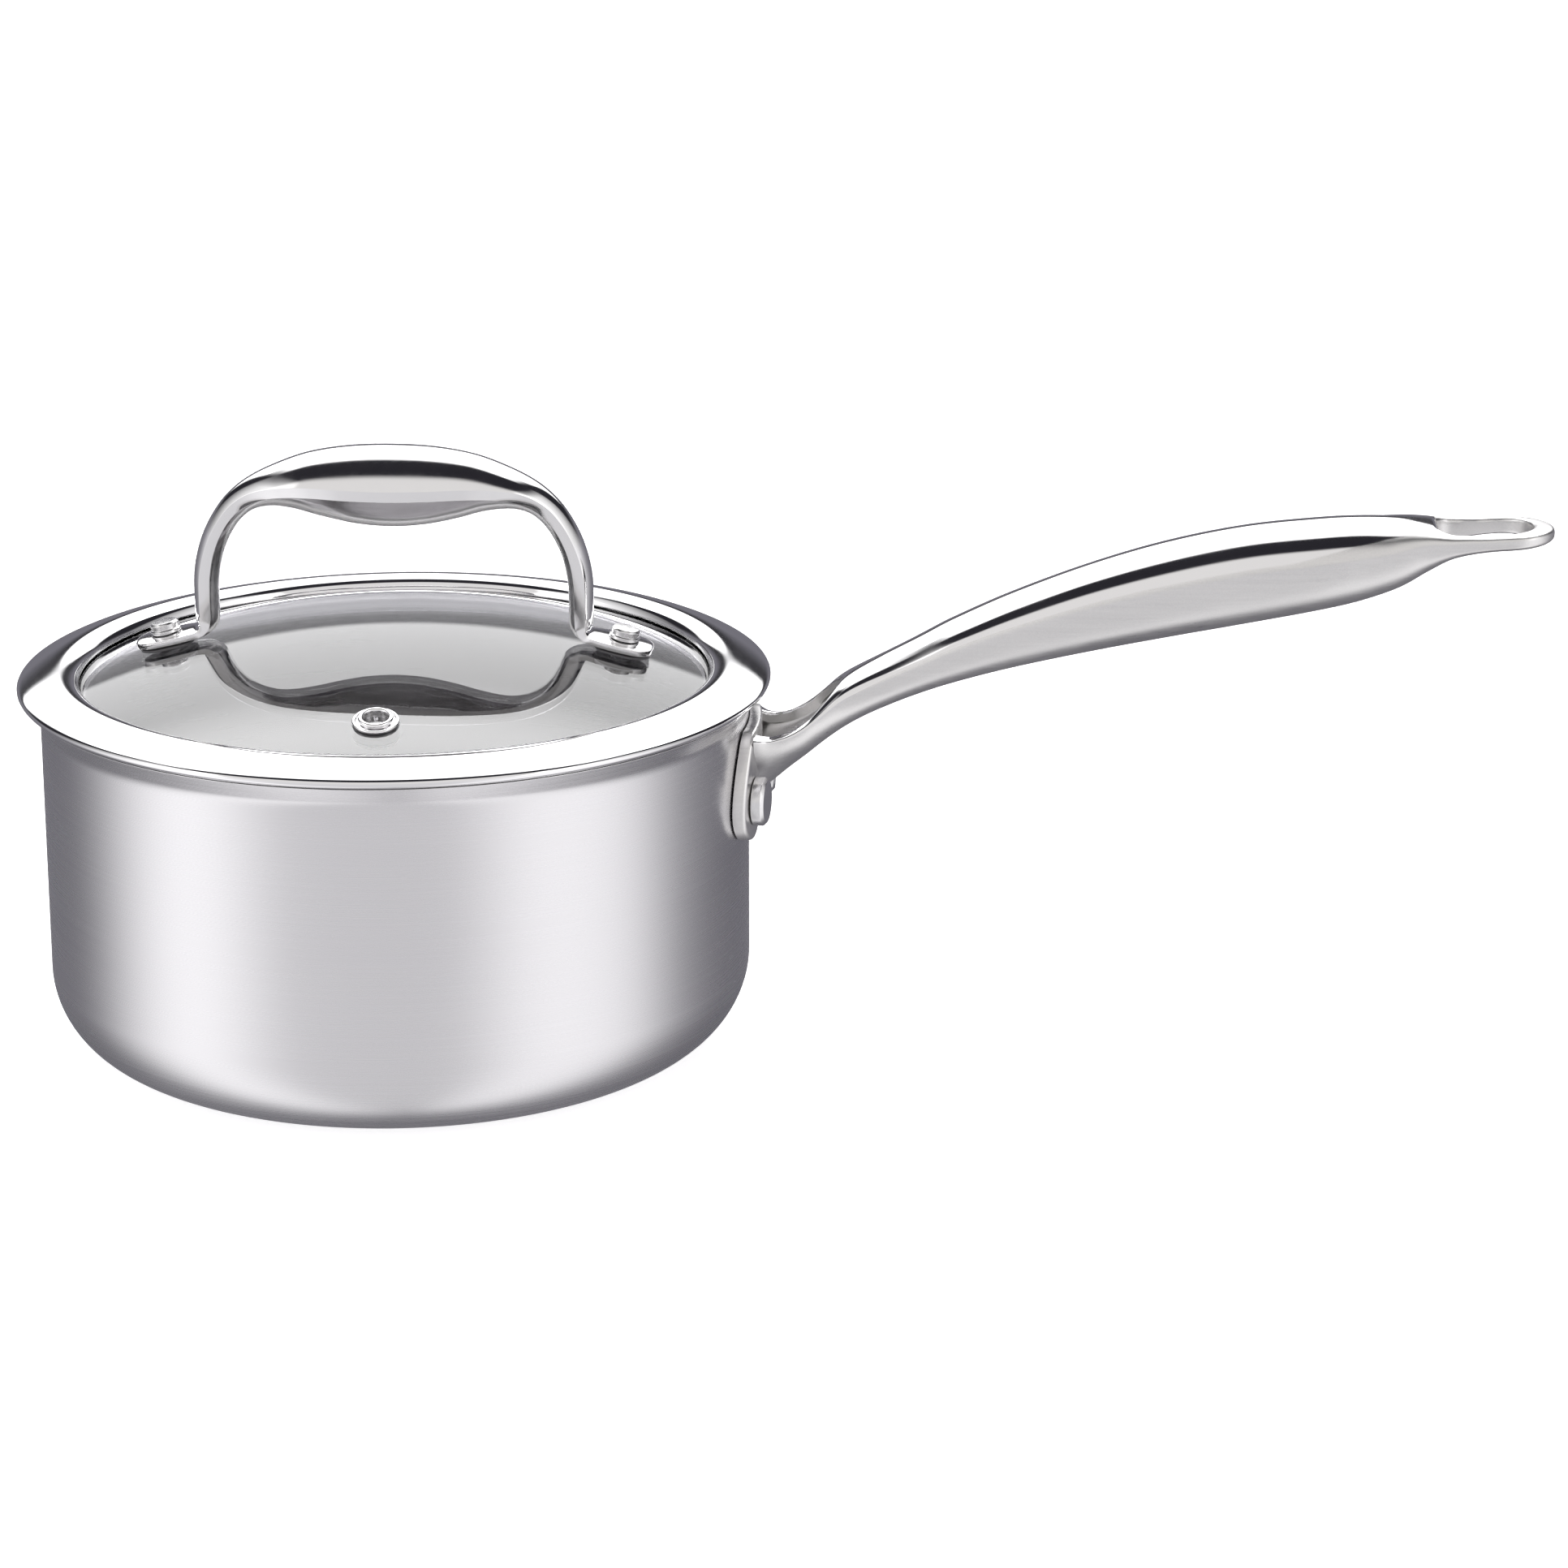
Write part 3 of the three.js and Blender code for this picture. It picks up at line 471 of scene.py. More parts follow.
def half_section(x, inset, gap_top, gap_low, fil, line):
    """Points of one half (y >= 0) of the skin, from the lower centre or hole edge, round the side, to the upper one."""
    zt, zb, w, zw, nb = section(x, inset)
    over = max(0.0, x - TIP_C) if inset == 0 else 0.0
    nt, qt = crown(x)
    wx = math.sqrt(max(1e-6, TIP_R**2 - over**2)) if over > 0 else w

    def shape(y, up):
        u = math.sqrt(over**2 + y * y) / (TIP_R if over > 0 else w)
        u = min(1.0, u)
        n = nt if up else nb
        return zw + (zt - zw) * (1 - u**n) ** qt if up else zw - (zw - zb) * (1 - u**n) ** (1 / n)

    def drop(y):
        if fil <= 0 or line is None:
            return 0.0
        d = float(np.min(np.hypot(line[:, 0] - x, line[:, 1] - y)))
        return fil - math.sqrt(max(0.0, fil**2 - (fil - d) ** 2)) if d < fil else 0.0

    pts = []
    fl = fil if gap_low is not None else 0.0
    y0 = gap_low if gap_low is not None else 0.0
    edge = [min(y0 + r * max(fil, 0.3), wx * 0.97) for r in RIM]
    for y in edge[:-1]:
        pts.append((y, shape(y, False) + (drop(y) if fl else 0.0)))
    a0 = math.acos(min(1.0, (edge[-1] / wx) ** (nb / 2)))
    for k in range(DN):
        a = a0 * (1 - k / DN)
        y = wx * math.cos(a) ** (2 / nb)
        pts.append((y, shape(y, False) + (drop(y) if fl else 0.0)))
    y0 = gap_top if gap_top is not None else 0.0
    fl = fil if gap_top is not None else 0.0
    edge = [min(y0 + r * max(fil, 0.3), wx * 0.97) for r in RIM]
    a0 = math.acos(min(1.0, (edge[-1] / wx) ** (nt / 2)))
    for k in range(UP + 1):
        a = a0 * k / UP
        y = wx * math.cos(a) ** (2 / nt)
        pts.append((y, shape(y, True) - (drop(y) if fl else 0.0)))
    for y in edge[:-1][::-1]:
        pts.append((y, shape(y, True) - (drop(y) if fl else 0.0)))
    return pts


def handle_mesh():
    MF, HF = 0.7, 1.0
    xs = list(np.linspace(82.0, 86.0, 9)) + list(np.arange(87.0, 98.5, 1.0)) + [98.5, 99.2, 99.8, 100.3, 100.7, 101.0, 101.25, 101.42, 101.54]
    xs += [MOUTH_TIP]
    xs += [101.75, 101.95, 102.3, 103.0, 104.0]
    xs += list(np.arange(105.5, 228.0, 2.0)) + [228.5, 230.0, 231.2, 232.05, 232.4, 232.8, 233.05]
    xs += [LOOP_X0]
    xs += [233.22, 233.3, 233.5, 233.9, 234.4, 235.0, 235.8, 236.6, 237.4] + list(np.arange(238.2, 245.0, 1.0))
    xs += [246.0, 247.0, 248.0, 248.9, 249.8, 250.6, 251.4, 252.1, 252.7, 253.2, 253.6, 253.95, 254.2, 254.4, 254.52, 254.58]
    xs += [LOOP_X1]
    xs += [254.7, 254.9, 255.2, 255.6, 256.1, 256.6, 257.1, 257.5, 257.9, 258.3, 258.65, 258.95, 259.12]
    verts, faces, polish = [], [], []

    def add(x, y, z, p):
        verts.append((x, y, z))
        polish.append(p)
        return len(verts) - 1

    def polished(x, y, z):
        """1 on the crown's polished tongue, 0 on the satin sides and the loop."""
        zt, zb, w, zw, _ = section(x)
        t = (z - zw) / max(1e-6, zt - zw)
        limit = 0.16 if x < 200 else 0.16 + 0.62 * min(1.0, (x - 200) / 33.0) ** 1.15
        limit -= 0.1 * max(0.0, min(1.0, (118 - x) / 22))
        p = 0.5 + (t - limit) * 3.2
        if x > 226:
            q = 1 - (max(0.0, x - 228.5) / 4.6) ** 2.6 - (abs(y) / 10.6) ** 2.6 * 0.25
            p = min(p, 0.5 + q * 2.0)
        return max(0.0, min(1.0, p))

    top_rows, top_walls, inner_rows = [], [], []
    for x in xs:
        mouth = mouth_half(x)
        hole = hole_half(x)
        in_mouth, in_hole = x < MOUTH_TIP, LOOP_X0 < x < LOOP_X1
        near_hole = x > LOOP_X0 - 3
        line = HOLE_LINE if near_hole else MOUTH_LINE
        fil = HF if near_hole else (MF if x < MOUTH_TIP + 2 else 0.0)
        gap_t = hole if near_hole else mouth
        gap_l = hole if near_hole else None
        half = half_section(x, 0.0, gap_t if (near_hole or x < MOUTH_TIP + 2) else None, gap_l, fil, line)
        rows = {}
        for side in (1, -1):
            ids = []
            for k, (y, z) in enumerate(half):
                first, last = k == 0, k == len(half) - 1
                if side == -1 and ((first and not in_hole) or (last and not (in_mouth or in_hole))):
                    ids.append(rows[1][k])
                    continue
                yy = 0.0 if (first and not in_hole) or (last and not (in_mouth or in_hole)) else y * side
                ids.append(add(x, yy, z, polished(x, yy, z)))
            rows[side] = ids
        top_rows.append(rows)
        # inner skin of the hollow
        if x <= 207.5:
            ih = half_section(x, 2.35, mouth if in_mouth else None, None, 0.0, None)
            zin = section(x, 2.35)
            pts = []
            for y, z in ih:
                pts.append((y, z))
            if in_mouth and mouth >= zin[2] * 0.97:
                pts = [(min(y, zin[2]), z) if z < zin[3] else (zin[2], zin[3]) for y, z in ih]
                pts = [(y, zin[3] + 0.001 * k if z >= zin[3] else z) for k, (y, z) in enumerate(pts)]
            irows = {}
            for side in (1, -1):
                ids = []
                for k, (y, z) in enumerate(pts):
                    first, last = k == 0, k == len(pts) - 1
                    if side == -1 and (first or (last and not in_mouth)):
                        ids.append(irows[1][k])
                        continue
                    yy = 0.0 if first or (last and not in_mouth) else y * side
                    ids.append(add(x, yy, z, 0.0))
                irows[side] = ids
            inner_rows.append(irows)
        else:
            inner_rows.append(None)
        # walls of the openings
        walls = {}
        if x <= MOUTH_TIP:
            for side in (1, -1):
                a, b = verts[top_rows[-1][side][-1]], verts[inner_rows[-1][side][-1]]
                if side == -1 and x == MOUTH_TIP:
                    walls[-1] = walls[1]
                    continue
                walls[side] = [top_rows[-1][side][-1]] + [
                    add(x, a[1] + (b[1] - a[1]) * k / WALLN, a[2] + (b[2] - a[2]) * k / WALLN, 0.15) for k in range(1, WALLN)
                ] + [inner_rows[-1][side][-1]]
        elif LOOP_X0 <= x <= LOOP_X1:
            for side in (1, -1):
                a, b = verts[top_rows[-1][side][-1]], verts[top_rows[-1][side][0]]
                if side == -1 and not in_hole:
                    walls[-1] = walls[1]
                    continue
                walls[side] = [top_rows[-1][side][-1]] + [
                    add(x, a[1] + (b[1] - a[1]) * k / WALLN, a[2] + (b[2] - a[2]) * k / WALLN, 0.0) for k in range(1, WALLN)
                ] + [top_rows[-1][side][0]]
        top_walls.append(walls)

    def strip(a, b, flip):
        for k in range(len(a) - 1):
            f = []
            for q in (a[k], b[k], b[k + 1], a[k + 1]):
                if q not in f:
                    f.append(q)
            if len(f) > 2:
                faces.append(tuple(reversed(f)) if flip else tuple(f))

    for i in range(len(xs) - 1):
        for side in (1, -1):
            strip(top_rows[i][side], top_rows[i + 1][side], side == -1)
            if inner_rows[i] and inner_rows[i + 1]:
                strip(inner_rows[i][side], inner_rows[i + 1][side], side == 1)
            if top_walls[i] and top_walls[i + 1] and side in top_walls[i] and side in top_walls[i + 1]:
                strip(top_walls[i][side], top_walls[i + 1][side], side == -1)

    def cap(ring, flip):
        c = np.mean([verts[q] for q in ring], axis=0)
        ci = add(c[0], c[1], c[2], 0.0)
        for k in range(len(ring)):
            f = (ci, ring[k], ring[(k + 1) % len(ring)])
            if ring[k] != ring[(k + 1) % len(ring)]:
                faces.append(tuple(reversed(f)) if flip else f)

    last = top_rows[-1]
    ring = last[1] + last[-1][::-1][1:-1]
    tip = add(TIP_C + TIP_R, 0.0, np.mean([verts[q][2] for q in ring]), 0.0)
    for k in range(len(ring)):
        a, b = ring[k], ring[(k + 1) % len(ring)]
        if a != b:
            faces.append((a, tip, b))
    k_in = max(i for i, r in enumerate(inner_rows) if r)
    r = inner_rows[k_in]
    cap(r[1] + r[-1][::-1][1:-1], True)
    # the pan-side end is buried in the flange
    o, n, w = top_rows[0], inner_rows[0], top_walls[0]
    ring = o[-1][::-1] + o[1][1:] + w[1][1:] + n[1][::-1][1:] + n[-1][1:] + w[-1][::-1][1:-1]
    loop_faces = []
    outer = o[-1][::-1] + o[1][1:]
    inner = n[-1][::-1] + n[1][1:]
    m = min(len(outer), len(inner))
    for k in range(m - 1):
        loop_faces.append((outer[k], inner[k], inner[k + 1], outer[k + 1]))
    for side in (1, -1):
        wl = w[side]
        c = wl[0]
        for k in range(1, len(wl) - 1):
            loop_faces.append((c, wl[k], wl[k + 1]) if side == 1 else (c, wl[k + 1], wl[k]))
    faces.extend(loop_faces)
    return verts, faces, polish


FLANGE_R0, FLANGE_R1 = 80.25, 83.1


def flange_mesh():
    """The curved plate under the rivets, with softly rounded outer edges."""

    def arc(cy, cz, r, a0, a1, n):
        return [(cy + r * math.cos(rad(a)), cz + r * math.sin(rad(a))) for a in np.linspace(a0, a1, n)]

    def bez(p0, p1, p2, n):
        return [tuple((1 - u) ** 2 * np.array(p0) + 2 * u * (1 - u) * np.array(p1) + u * u * np.array(p2)) for u in np.linspace(0, 1, n)]

    half = [(0.0, 52.6)] + bez((1.5, 52.62), (5.5, 52.9), (8.525, 52.63), 8)
    half += arc(12.5, 59.8, 8.2, -117, 12, 40)
    half += bez((20.52, 61.5), (19.5, 67.2), (15.6, 72.6), 18)[1:]
    half += bez((15.6, 72.6), (13.8, 75.6), (11.2, 76.4), 8)[1:]
    half += [(8.0, 76.4), (4.0, 76.4), (0.0, 76.4)]
    line = half + [(-y, z) for y, z in half[::-1][1:-1]]
    line = np.array(line)
    nxt, prv = np.roll(line, -1, 0), np.roll(line, 1, 0)
    tan = nxt - prv
    nor = np.stack([tan[:, 1], -tan[:, 0]], -1) / np.linalg.norm(tan, axis=1, keepdims=True)
    centre = np.array([0.0, 65.5])
    verts, faces, rows = [], [], []
    f = 0.75
    levels = [(FLANGE_R0, 0.25), (FLANGE_R0 + 0.08, 0.07), (FLANGE_R0 + 0.25, 0.0), (FLANGE_R1 - f, 0.0)]
    levels += [(FLANGE_R1 - f + f * math.sin(a), f * (1 - math.cos(a))) for a in np.linspace(0, math.pi / 2, 7)[1:]]

    def ring(pts, r):
        ids = []
        for y, z in pts:
            ids.append(len(verts))
            verts.append((math.sqrt(r * r - y * y), y, z))
        return ids

    for s in (0.15, 0.4, 0.7):
        rows.append(ring(centre + (line - nor * 0.25 - centre) * s, FLANGE_R0))
    for r, inset in levels:
        rows.append(ring(line - nor * inset, r))
    for s in (0.85, 0.65, 0.42, 0.2):
        rows.append(ring(centre + (line - nor * f - centre) * s, FLANGE_R1))
    n = len(line)
    for a, b in zip(rows[:-1], rows[1:]):
        for j in range(n):
            k = (j + 1) % n
            faces.append((a[j], a[k], b[k], b[j]))
    for row, r in ((rows[0], FLANGE_R0), (rows[-1], FLANGE_R1)):
        c = len(verts)
        verts.append((r, 0.0, 65.5))
        for j in range(n):
            k = (j + 1) % n
            faces.append((c, row[k], row[j]) if row is rows[0] else (c, row[j], row[k]))
    return verts, outward(verts, faces)


hv, hf, pol = handle_mesh()
hf = outward(hv, hf)
fv, ff = flange_mesh()
base = len(hv)
hv = hv + fv
hf = list(hf) + [tuple(q + base for q in f) for f in ff]
pol = pol + [0.0] * len(fv)
handle = build("long_handle_body", hv, hf, HANDLE_STEEL, "pan", "long_handle", sharp=42)
att = handle.data.attributes.new("polish", "FLOAT", "POINT")
if len(handle.data.vertices) == len(pol):
    att.data.foreach_set("value", np.array(pol, np.float32))

# Rivets of the long handle
for name, side in (("handle_rivet_near", -1), ("handle_rivet_far", 1)):
    az = side * math.asin(12.5 / 83.1)
    r0, r1 = BODY_R - WALL_T - 0.55, FLANGE_R1 + 0.12
    prof = rounded(
        [(0, r0 - 1.5), (3.4, r0 - 1.35), (5.2, r0 - 0.7), (5.2, r0), (3.0, r0), (3.0, r1), (5.5, r1), (5.5, r1 + 2.15), (4.75, r1 + 2.9), (0, r1 + 2.9)],
        0.28, 4)
    m = Matrix.Translation((0, 0, 60.5)) @ Matrix.Rotation(az, 4, "Z") @ Matrix.Rotation(math.pi / 2, 4, "Y")
    v, f = lathe(prof, 72, m)
    build(name + "_head", v, f, RIVET, "pan", name, sharp=50)

# ------------------------------------------------------------------------ lid
GLASS_CZ, GLASS_R, GLASS_T, GLASS_EDGE = 97.6 - 215.0, 215.0, 4.0, 74.7


def glass_top(r):
    return GLASS_CZ + math.sqrt(GLASS_R**2 - r * r)


def glass_under(r):
    return GLASS_CZ + math.sqrt((GLASS_R - GLASS_T) ** 2 - r * r)


def on_glass(x, y, lean):
    r, az = math.hypot(x, y), math.atan2(y, x)
    return Matrix.Translation((x, y, glass_top(r))) @ Matrix.Rotation(az, 4, "Z") @ Matrix.Rotation(rad(lean), 4, "Y")


FOOT_X, TILT = 51.3, 12.5
VENT_R, VENT_AZ = 55.3, -86.9
FOOT = {"left": on_glass(-FOOT_X, 0, TILT), "right": on_glass(FOOT_X, 0, TILT)}
VENT = on_glass(VENT_R * math.cos(rad(VENT_AZ)), VENT_R * math.sin(rad(VENT_AZ)), math.degrees(math.asin(VENT_R / GLASS_R)))

rs = np.linspace(0, GLASS_EDGE, 34)
outline = [(r, glass_under(r)) for r in rs] + [(r, glass_top(r)) for r in rs[::-1]]
v, f = lathe(rounded(outline, 0.9, 6, keep=40), 256)
build("lid_glass_dome", v, f, GLASS, "lid", "lid_glass", sharp=None)

BAND = [
    (71.4, 86.0), (71.7, 86.85), (72.25, 87.6), (73.1, 88.2), (74.2, 88.6), (75.5, 88.72), (77.3, 88.52), (79.4, 88.0), (81.4, 87.32), (83.2, 86.55),
    (84.4, 85.88), (84.7, 85.4), (84.35, 84.85), (83.6, 84.6), (80.5, 84.55), (77.3, 84.55), (76.25, 83.9), (76.1, 82.6), (76.1, 79.6), (75.3, 78.8), (73.5, 78.75),
]
line = spline(BAND, 150)
tan = np.gradient(line, axis=0)
nor = np.stack([-tan[:, 1], tan[:, 0]], -1) / np.linalg.norm(tan, axis=1, keepdims=True)
h = 0.3
left, right = line + nor * h, line - nor * h
cap0 = [line[0] + h * (nor[0] * -math.cos(a) - tan[0] / np.linalg.norm(tan[0]) * math.sin(a)) for a in np.linspace(0, math.pi, 7)[1:-1]]
cap1 = [line[-1] + h * (nor[-1] * math.cos(a) + tan[-1] / np.linalg.norm(tan[-1]) * math.sin(a)) for a in np.linspace(0, math.pi, 7)[1:-1]]
prof = [tuple(p) for p in left] + [tuple(p) for p in cap1] + [tuple(p) for p in right[::-1]] + [tuple(p) for p in cap0]
v, f = lathe(prof, 320)
build("lid_rim_roll", v, f, RIMSTEEL, "lid", "lid_rim_band", sharp=None)

v, f = lathe(rounded([(73.5, 79.3), (74.8, 79.3), (75.55, 80.05), (75.55, 84.0), (74.95, 84.0), (74.95, 79.75), (73.5, 80.15)], 0.15, 3), 200)
build("lid_rim_cushion", v, f, SILICONE, "lid", "lid_rim_seal")

# Bridge handle
TAB_BOTTOM, TAB_T, TAB_W, TAB_REACH = 0.9, 2.3, 6.2, 7.0
tn = np.array([math.sin(rad(TILT)), math.cos(rad(TILT))])
tt = np.array([math.cos(rad(TILT)), -math.sin(rad(TILT))])
mid = np.array([FOOT_X, glass_top(FOOT_X)]) + tn * (TAB_BOTTOM + TAB_T / 2)
rows = []  # centre, normal, half width, half thickness, edge band
for s, w in ((TAB_REACH, 1.0), (TAB_REACH - 0.15, 2.2), (TAB_REACH - 0.5, 3.4), (TAB_REACH - 1.6, 4.85), (TAB_REACH - 3.4, 5.9), (TAB_REACH - 6.2, 6.2), (-3.0, 6.0), (-5.6, 5.4)):
    t = 0.62 if s > 6.9 else 0.86 if s > 6.7 else 1.05 if s > 6.3 else TAB_T / 2
    rows.append((mid + tt * s, tn, w, t, 1.0 if s > 6.7 else 1.4))
cx = 42.4 + 3.0
k = (mid[0] - (cx - 3.0 * tn[0])) / tt[0]
zc = mid[1] - tt[1] * k + 3.0 * tn[1]
for fr, w, t in ((0, 5.0, 1.15), (0.33, 4.5, 1.5), (0.66, 4.2, 2.1), (1, 4.05, 2.65)):
    a = rad(90 - TILT) * (1 - fr)
    n = np.array([math.cos(a), math.sin(a)])
    rows.append((np.array([cx, zc]) - 3.0 * n, n, w, t, 1.4 + 0.9 * fr))
for ox, oz, ix, iz, w in (
    (45.2, 103.0, 39.65, 103.0, 4.0), (45.15, 108.0, 39.4, 108.0, 4.0), (44.4, 112.8, 38.3, 113.4, 4.05), (42.9, 117.7, 36.3, 118.0, 4.15),
    (40.6, 122.3, 33.9, 121.4, 4.3), (37.3, 126.8, 31.0, 123.6, 4.7), (32.6, 130.7, 27.4, 124.5, 5.8), (26.4, 133.9, 22.0, 124.1, 7.7),
    (18.6, 136.7, 15.6, 122.4, 9.8), (9.6, 138.2, 8.0, 120.8, 11.5),
):
    o, i = np.array([ox, oz]), np.array([ix, iz])
    d = o - i
    l = np.linalg.norm(d)
    rows.append(((o + i) / 2, d / l, w, l / 2, 2.4))
rows.append((np.array([0, (138.6 + 120.2) / 2]), np.array([0.0, 1.0]), 12.0, 9.2, 2.4))
rows += [(np.array([-c[0], c[1]]), np.array([-n[0], n[1]]), w, t, b) for c, n, w, t, b in rows[::-1][1:]]
flat = np.array([[*c, *n, w, t, b] for c, n, w, t, b in rows])
dense = spline(flat, 330)
KS = (1.0, 0.992, 0.96, 0.9, 0.8, 0.66, 0.5, 0.33, 0.16, 0.0)
prof_k = list(KS) + [-k for k in KS[::-1][1:]]
verts, faces = [], []
for row in dense:
    c, n = row[:2], row[2:4] / np.linalg.norm(row[2:4])
    w, t, b = row[4], row[5], row[6]
    hb = min(b / 2, t * 0.62)
    sect = []
    for sgn, ks in ((1, prof_k), (-1, prof_k[::-1])):
        for kk in ks:
            sect.append((w * kk, sgn * (hb + (t - hb) * (1 - abs(kk) ** 2.2))))
    soft = rounded(sect, 0.32, 3, keep=30)
    for y, u in soft:
        verts.append((c[0] + n[0] * u, y, c[1] + n[1] * u))
    m = len(soft)
count = len(verts) // m if len(verts) % m == 0 else 0
for i in range(count - 1):
    for j in range(m):
        k = (j + 1) % m
        faces.append((i * m + j, i * m + k, (i + 1) * m + k, (i + 1) * m + j))
for i in (0, count - 1):
    c = len(verts)
    verts.append(tuple(np.mean(verts[i * m:(i + 1) * m], axis=0)))
    for j in range(m):
        k = (j + 1) % m
        faces.append((c, i * m + k, i * m + j) if i == 0 else (c, i * m + j, i * m + k))
build("lid_grip", verts, outward(verts, faces), GRIP, "lid", "lid_handle", sharp=40)

# Rivets, gaskets and washers of the lid handle
for side, fm in FOOT.items():
    h0 = TAB_BOTTOM + TAB_T + 0.1
    h1 = h0 + 2.5
    prof = rounded([(0, -7.4), (2.4, -7.4), (3.7, -6.9), (3.7, -6.15), (2.5, -6.15), (2.5, h0), (3.5, h0), (3.5, h0 + 0.7),
                    (3.2, h0 + 0.95), (3.25, h1 - 0.45), (2.85, h1), (0, h1)], 0.14, 4)
    v, f = lathe(prof, 64, fm)
    build(f"lid_rivet_{side}_pin", v, f, RIVET, "lid", f"lid_rivet_{side}", sharp=50)
    e, hw = TAB_REACH - 0.3, TAB_W - 0.25
    out = [(-4.4, -5.2)] + [(e - hw + hw * math.cos(a), hw * math.sin(a)) for a in np.linspace(-math.pi / 2, math.pi / 2, 40)] + [(-4.4, 5.2)]
    q = [np.array((-4.4, 5.2)), np.array((-6.2, 3.2)), np.array((-6.2, 0.0))]
    out += [tuple((1 - u) ** 2 * q[0] + 2 * u * (1 - u) * q[1] + u * u * q[2]) for u in np.linspace(0, 1, 8)[1:]]
    q = [np.array((-6.2, 0.0)), np.array((-6.2, -3.2)), np.array((-4.4, -5.2))]
    out += [tuple((1 - u) ** 2 * q[0] + 2 * u * (1 - u) * q[1] + u * u * q[2]) for u in np.linspace(0, 1, 8)[1:-1]]
    out = np.array(out)
    tg = np.roll(out, -1, 0) - np.roll(out, 1, 0)
    nn = np.stack([tg[:, 1], -tg[:, 0]], -1) / np.linalg.norm(tg, axis=1, keepdims=True)
    hole = np.array([(2.8 * math.cos(a), 2.8 * math.sin(a)) for a in np.arctan2(out[:, 1], out[:, 0])])
    verts, faces, rws = [], [], []
    for z, inset in ((0.25, 0.12), (0.3, 0.03), (0.4, 0.0), (0.65, 0.0), (0.75, 0.03), (0.8, 0.12)):
        rws.append(list(range(len(verts), len(verts) + len(out))))
        verts += [tuple(fm @ Vector((*p, z))) for p in out - nn * inset]
    for z in (0.8, 0.25):
        rws.append(list(range(len(verts), len(verts) + len(out))))
        verts += [tuple(fm @ Vector((*p, z))) for p in hole]
    n = len(out)
    for a, b in zip(rws, rws[1:] + rws[:1]):
        for j in range(n):
            k = (j + 1) % n
            faces.append((a[j], a[k], b[k], b[j]))
    build(f"foot_gasket_{side}_pad", verts, outward(verts, faces), SILICONE, "lid", f"foot_gasket_{side}", sharp=50)
    v, f = lathe(rounded([(2.8, -5.05), (6.0, -5.05), (6.0, -4.5), (2.8, -4.5)], 0.15, 3), 64, fm)
    build(f"under_gasket_{side}_pad", v, f, SILICONE, "lid", f"under_gasket_{side}", sharp=50)
    v, f = lathe(rounded([(2.75, -6.05), (5.6, -6.05), (5.6, -5.15), (2.75, -5.15)], 0.2, 3), 64, fm)
    build(f"under_washer_{side}_disc", v, f, WASHER, "lid", f"under_washer_{side}", sharp=50)

# Steam vent
b = 2.8
tube, bore = b + 0.5, b + 0.65
ring = [(b, -6.3), (4.7, -6.3), (4.7, -5.9), (tube, -5.8), (tube, 0.3), (5.15, 0.2)]
ring += [(4.78 + 0.38 * math.cos(q2), 0.45 + 0.38 * math.sin(q2)) for q2 in np.linspace(rad(-15), rad(175), 12)]
ring += [(4.34, 0.3), (4.0, 0.3)]
ring += [(3.37 + 0.56 * math.cos(q2), 1.16 + 0.56 * math.sin(q2)) for q2 in np.linspace(rad(-12), rad(180), 14)]
v, f = lathe(ring, 72, VENT)
build("steam_vent_ring", v, f, MIRROR, "lid", "steam_vent_eyelet", sharp=60)
v, f = lathe(rounded([(bore, -4.98), (5.6, -4.98), (5.6, -4.42), (4.15, -4.42), (4.15, 0.05), (bore, 0.05)], 0.12, 3), 64, VENT)
build("steam_vent_sleeve", v, f, SILICONE, "lid", "steam_vent_grommet", sharp=50)
v, f = lathe(rounded([(bore, -5.65), (5.2, -5.65), (5.2, -5.1), (bore, -5.1)], 0.12, 3), 64, VENT)
build("steam_vent_disc", v, f, WASHER, "lid", "steam_vent_washer", sharp=50)

# ---------------------------------------------------------------------- studio
scene = bpy.context.scene
scene.view_settings.view_transform = "Standard"
scene.view_settings.look = "None"

world = bpy.data.worlds.new("studio")
scene.world = world
world.use_nodes = True
w = Tree(world.node_tree)
d = w.node("ShaderNodeTexCoord").outputs["Generated"]
dx, dy, dz = w.split(d)
el = w.math("MULTIPLY", w.math("ARCSINE", dz), 57.29578)


def pitch():
    """Degrees over the top: 0 at the back horizon, 90 overhead, 180 at the front horizon."""
    return w.math("MULTIPLY", w.math("ARCTAN2", dz, dy), 57.29578)


def bearing(centre):
    """Degrees round from a bearing: 0 is towards -Y, 90 towards +X, 180 towards +Y."""
    c, s = math.cos(rad(centre)), math.sin(rad(centre))
    fwd = w.math("SUBTRACT", w.math("MULTIPLY", dx, s), w.math("MULTIPLY", dy, c))
    side = w.math("ADD", w.math("MULTIPLY", dx, c), w.math("MULTIPLY", dy, s))
    return w.math("MULTIPLY", w.math("ARCTAN2", side, fwd), 57.29578)


def window(v, lo, hi, soft_lo, soft_hi=None):
    soft_hi = soft_lo if soft_hi is None else soft_hi
    a = w.remap(v, lo - soft_lo, lo + soft_lo, kind="SMOOTHSTEP")
    b2 = w.remap(v, hi - soft_hi, hi + soft_hi, 1.0, 0.0, kind="SMOOTHSTEP")
    return w.math("MULTIPLY", a, b2)


def panel(masks, color, strength):
    out = masks[0]
    for m2 in masks[1:]:
        out = w.math("MULTIPLY", out, m2)
    n = w.node("ShaderNodeVectorMath", operation="SCALE")
    n.inputs[0].default_value = color
    w.put(n.inputs["Scale"], w.math("MULTIPLY", out, strength))
    return n.outputs[0]


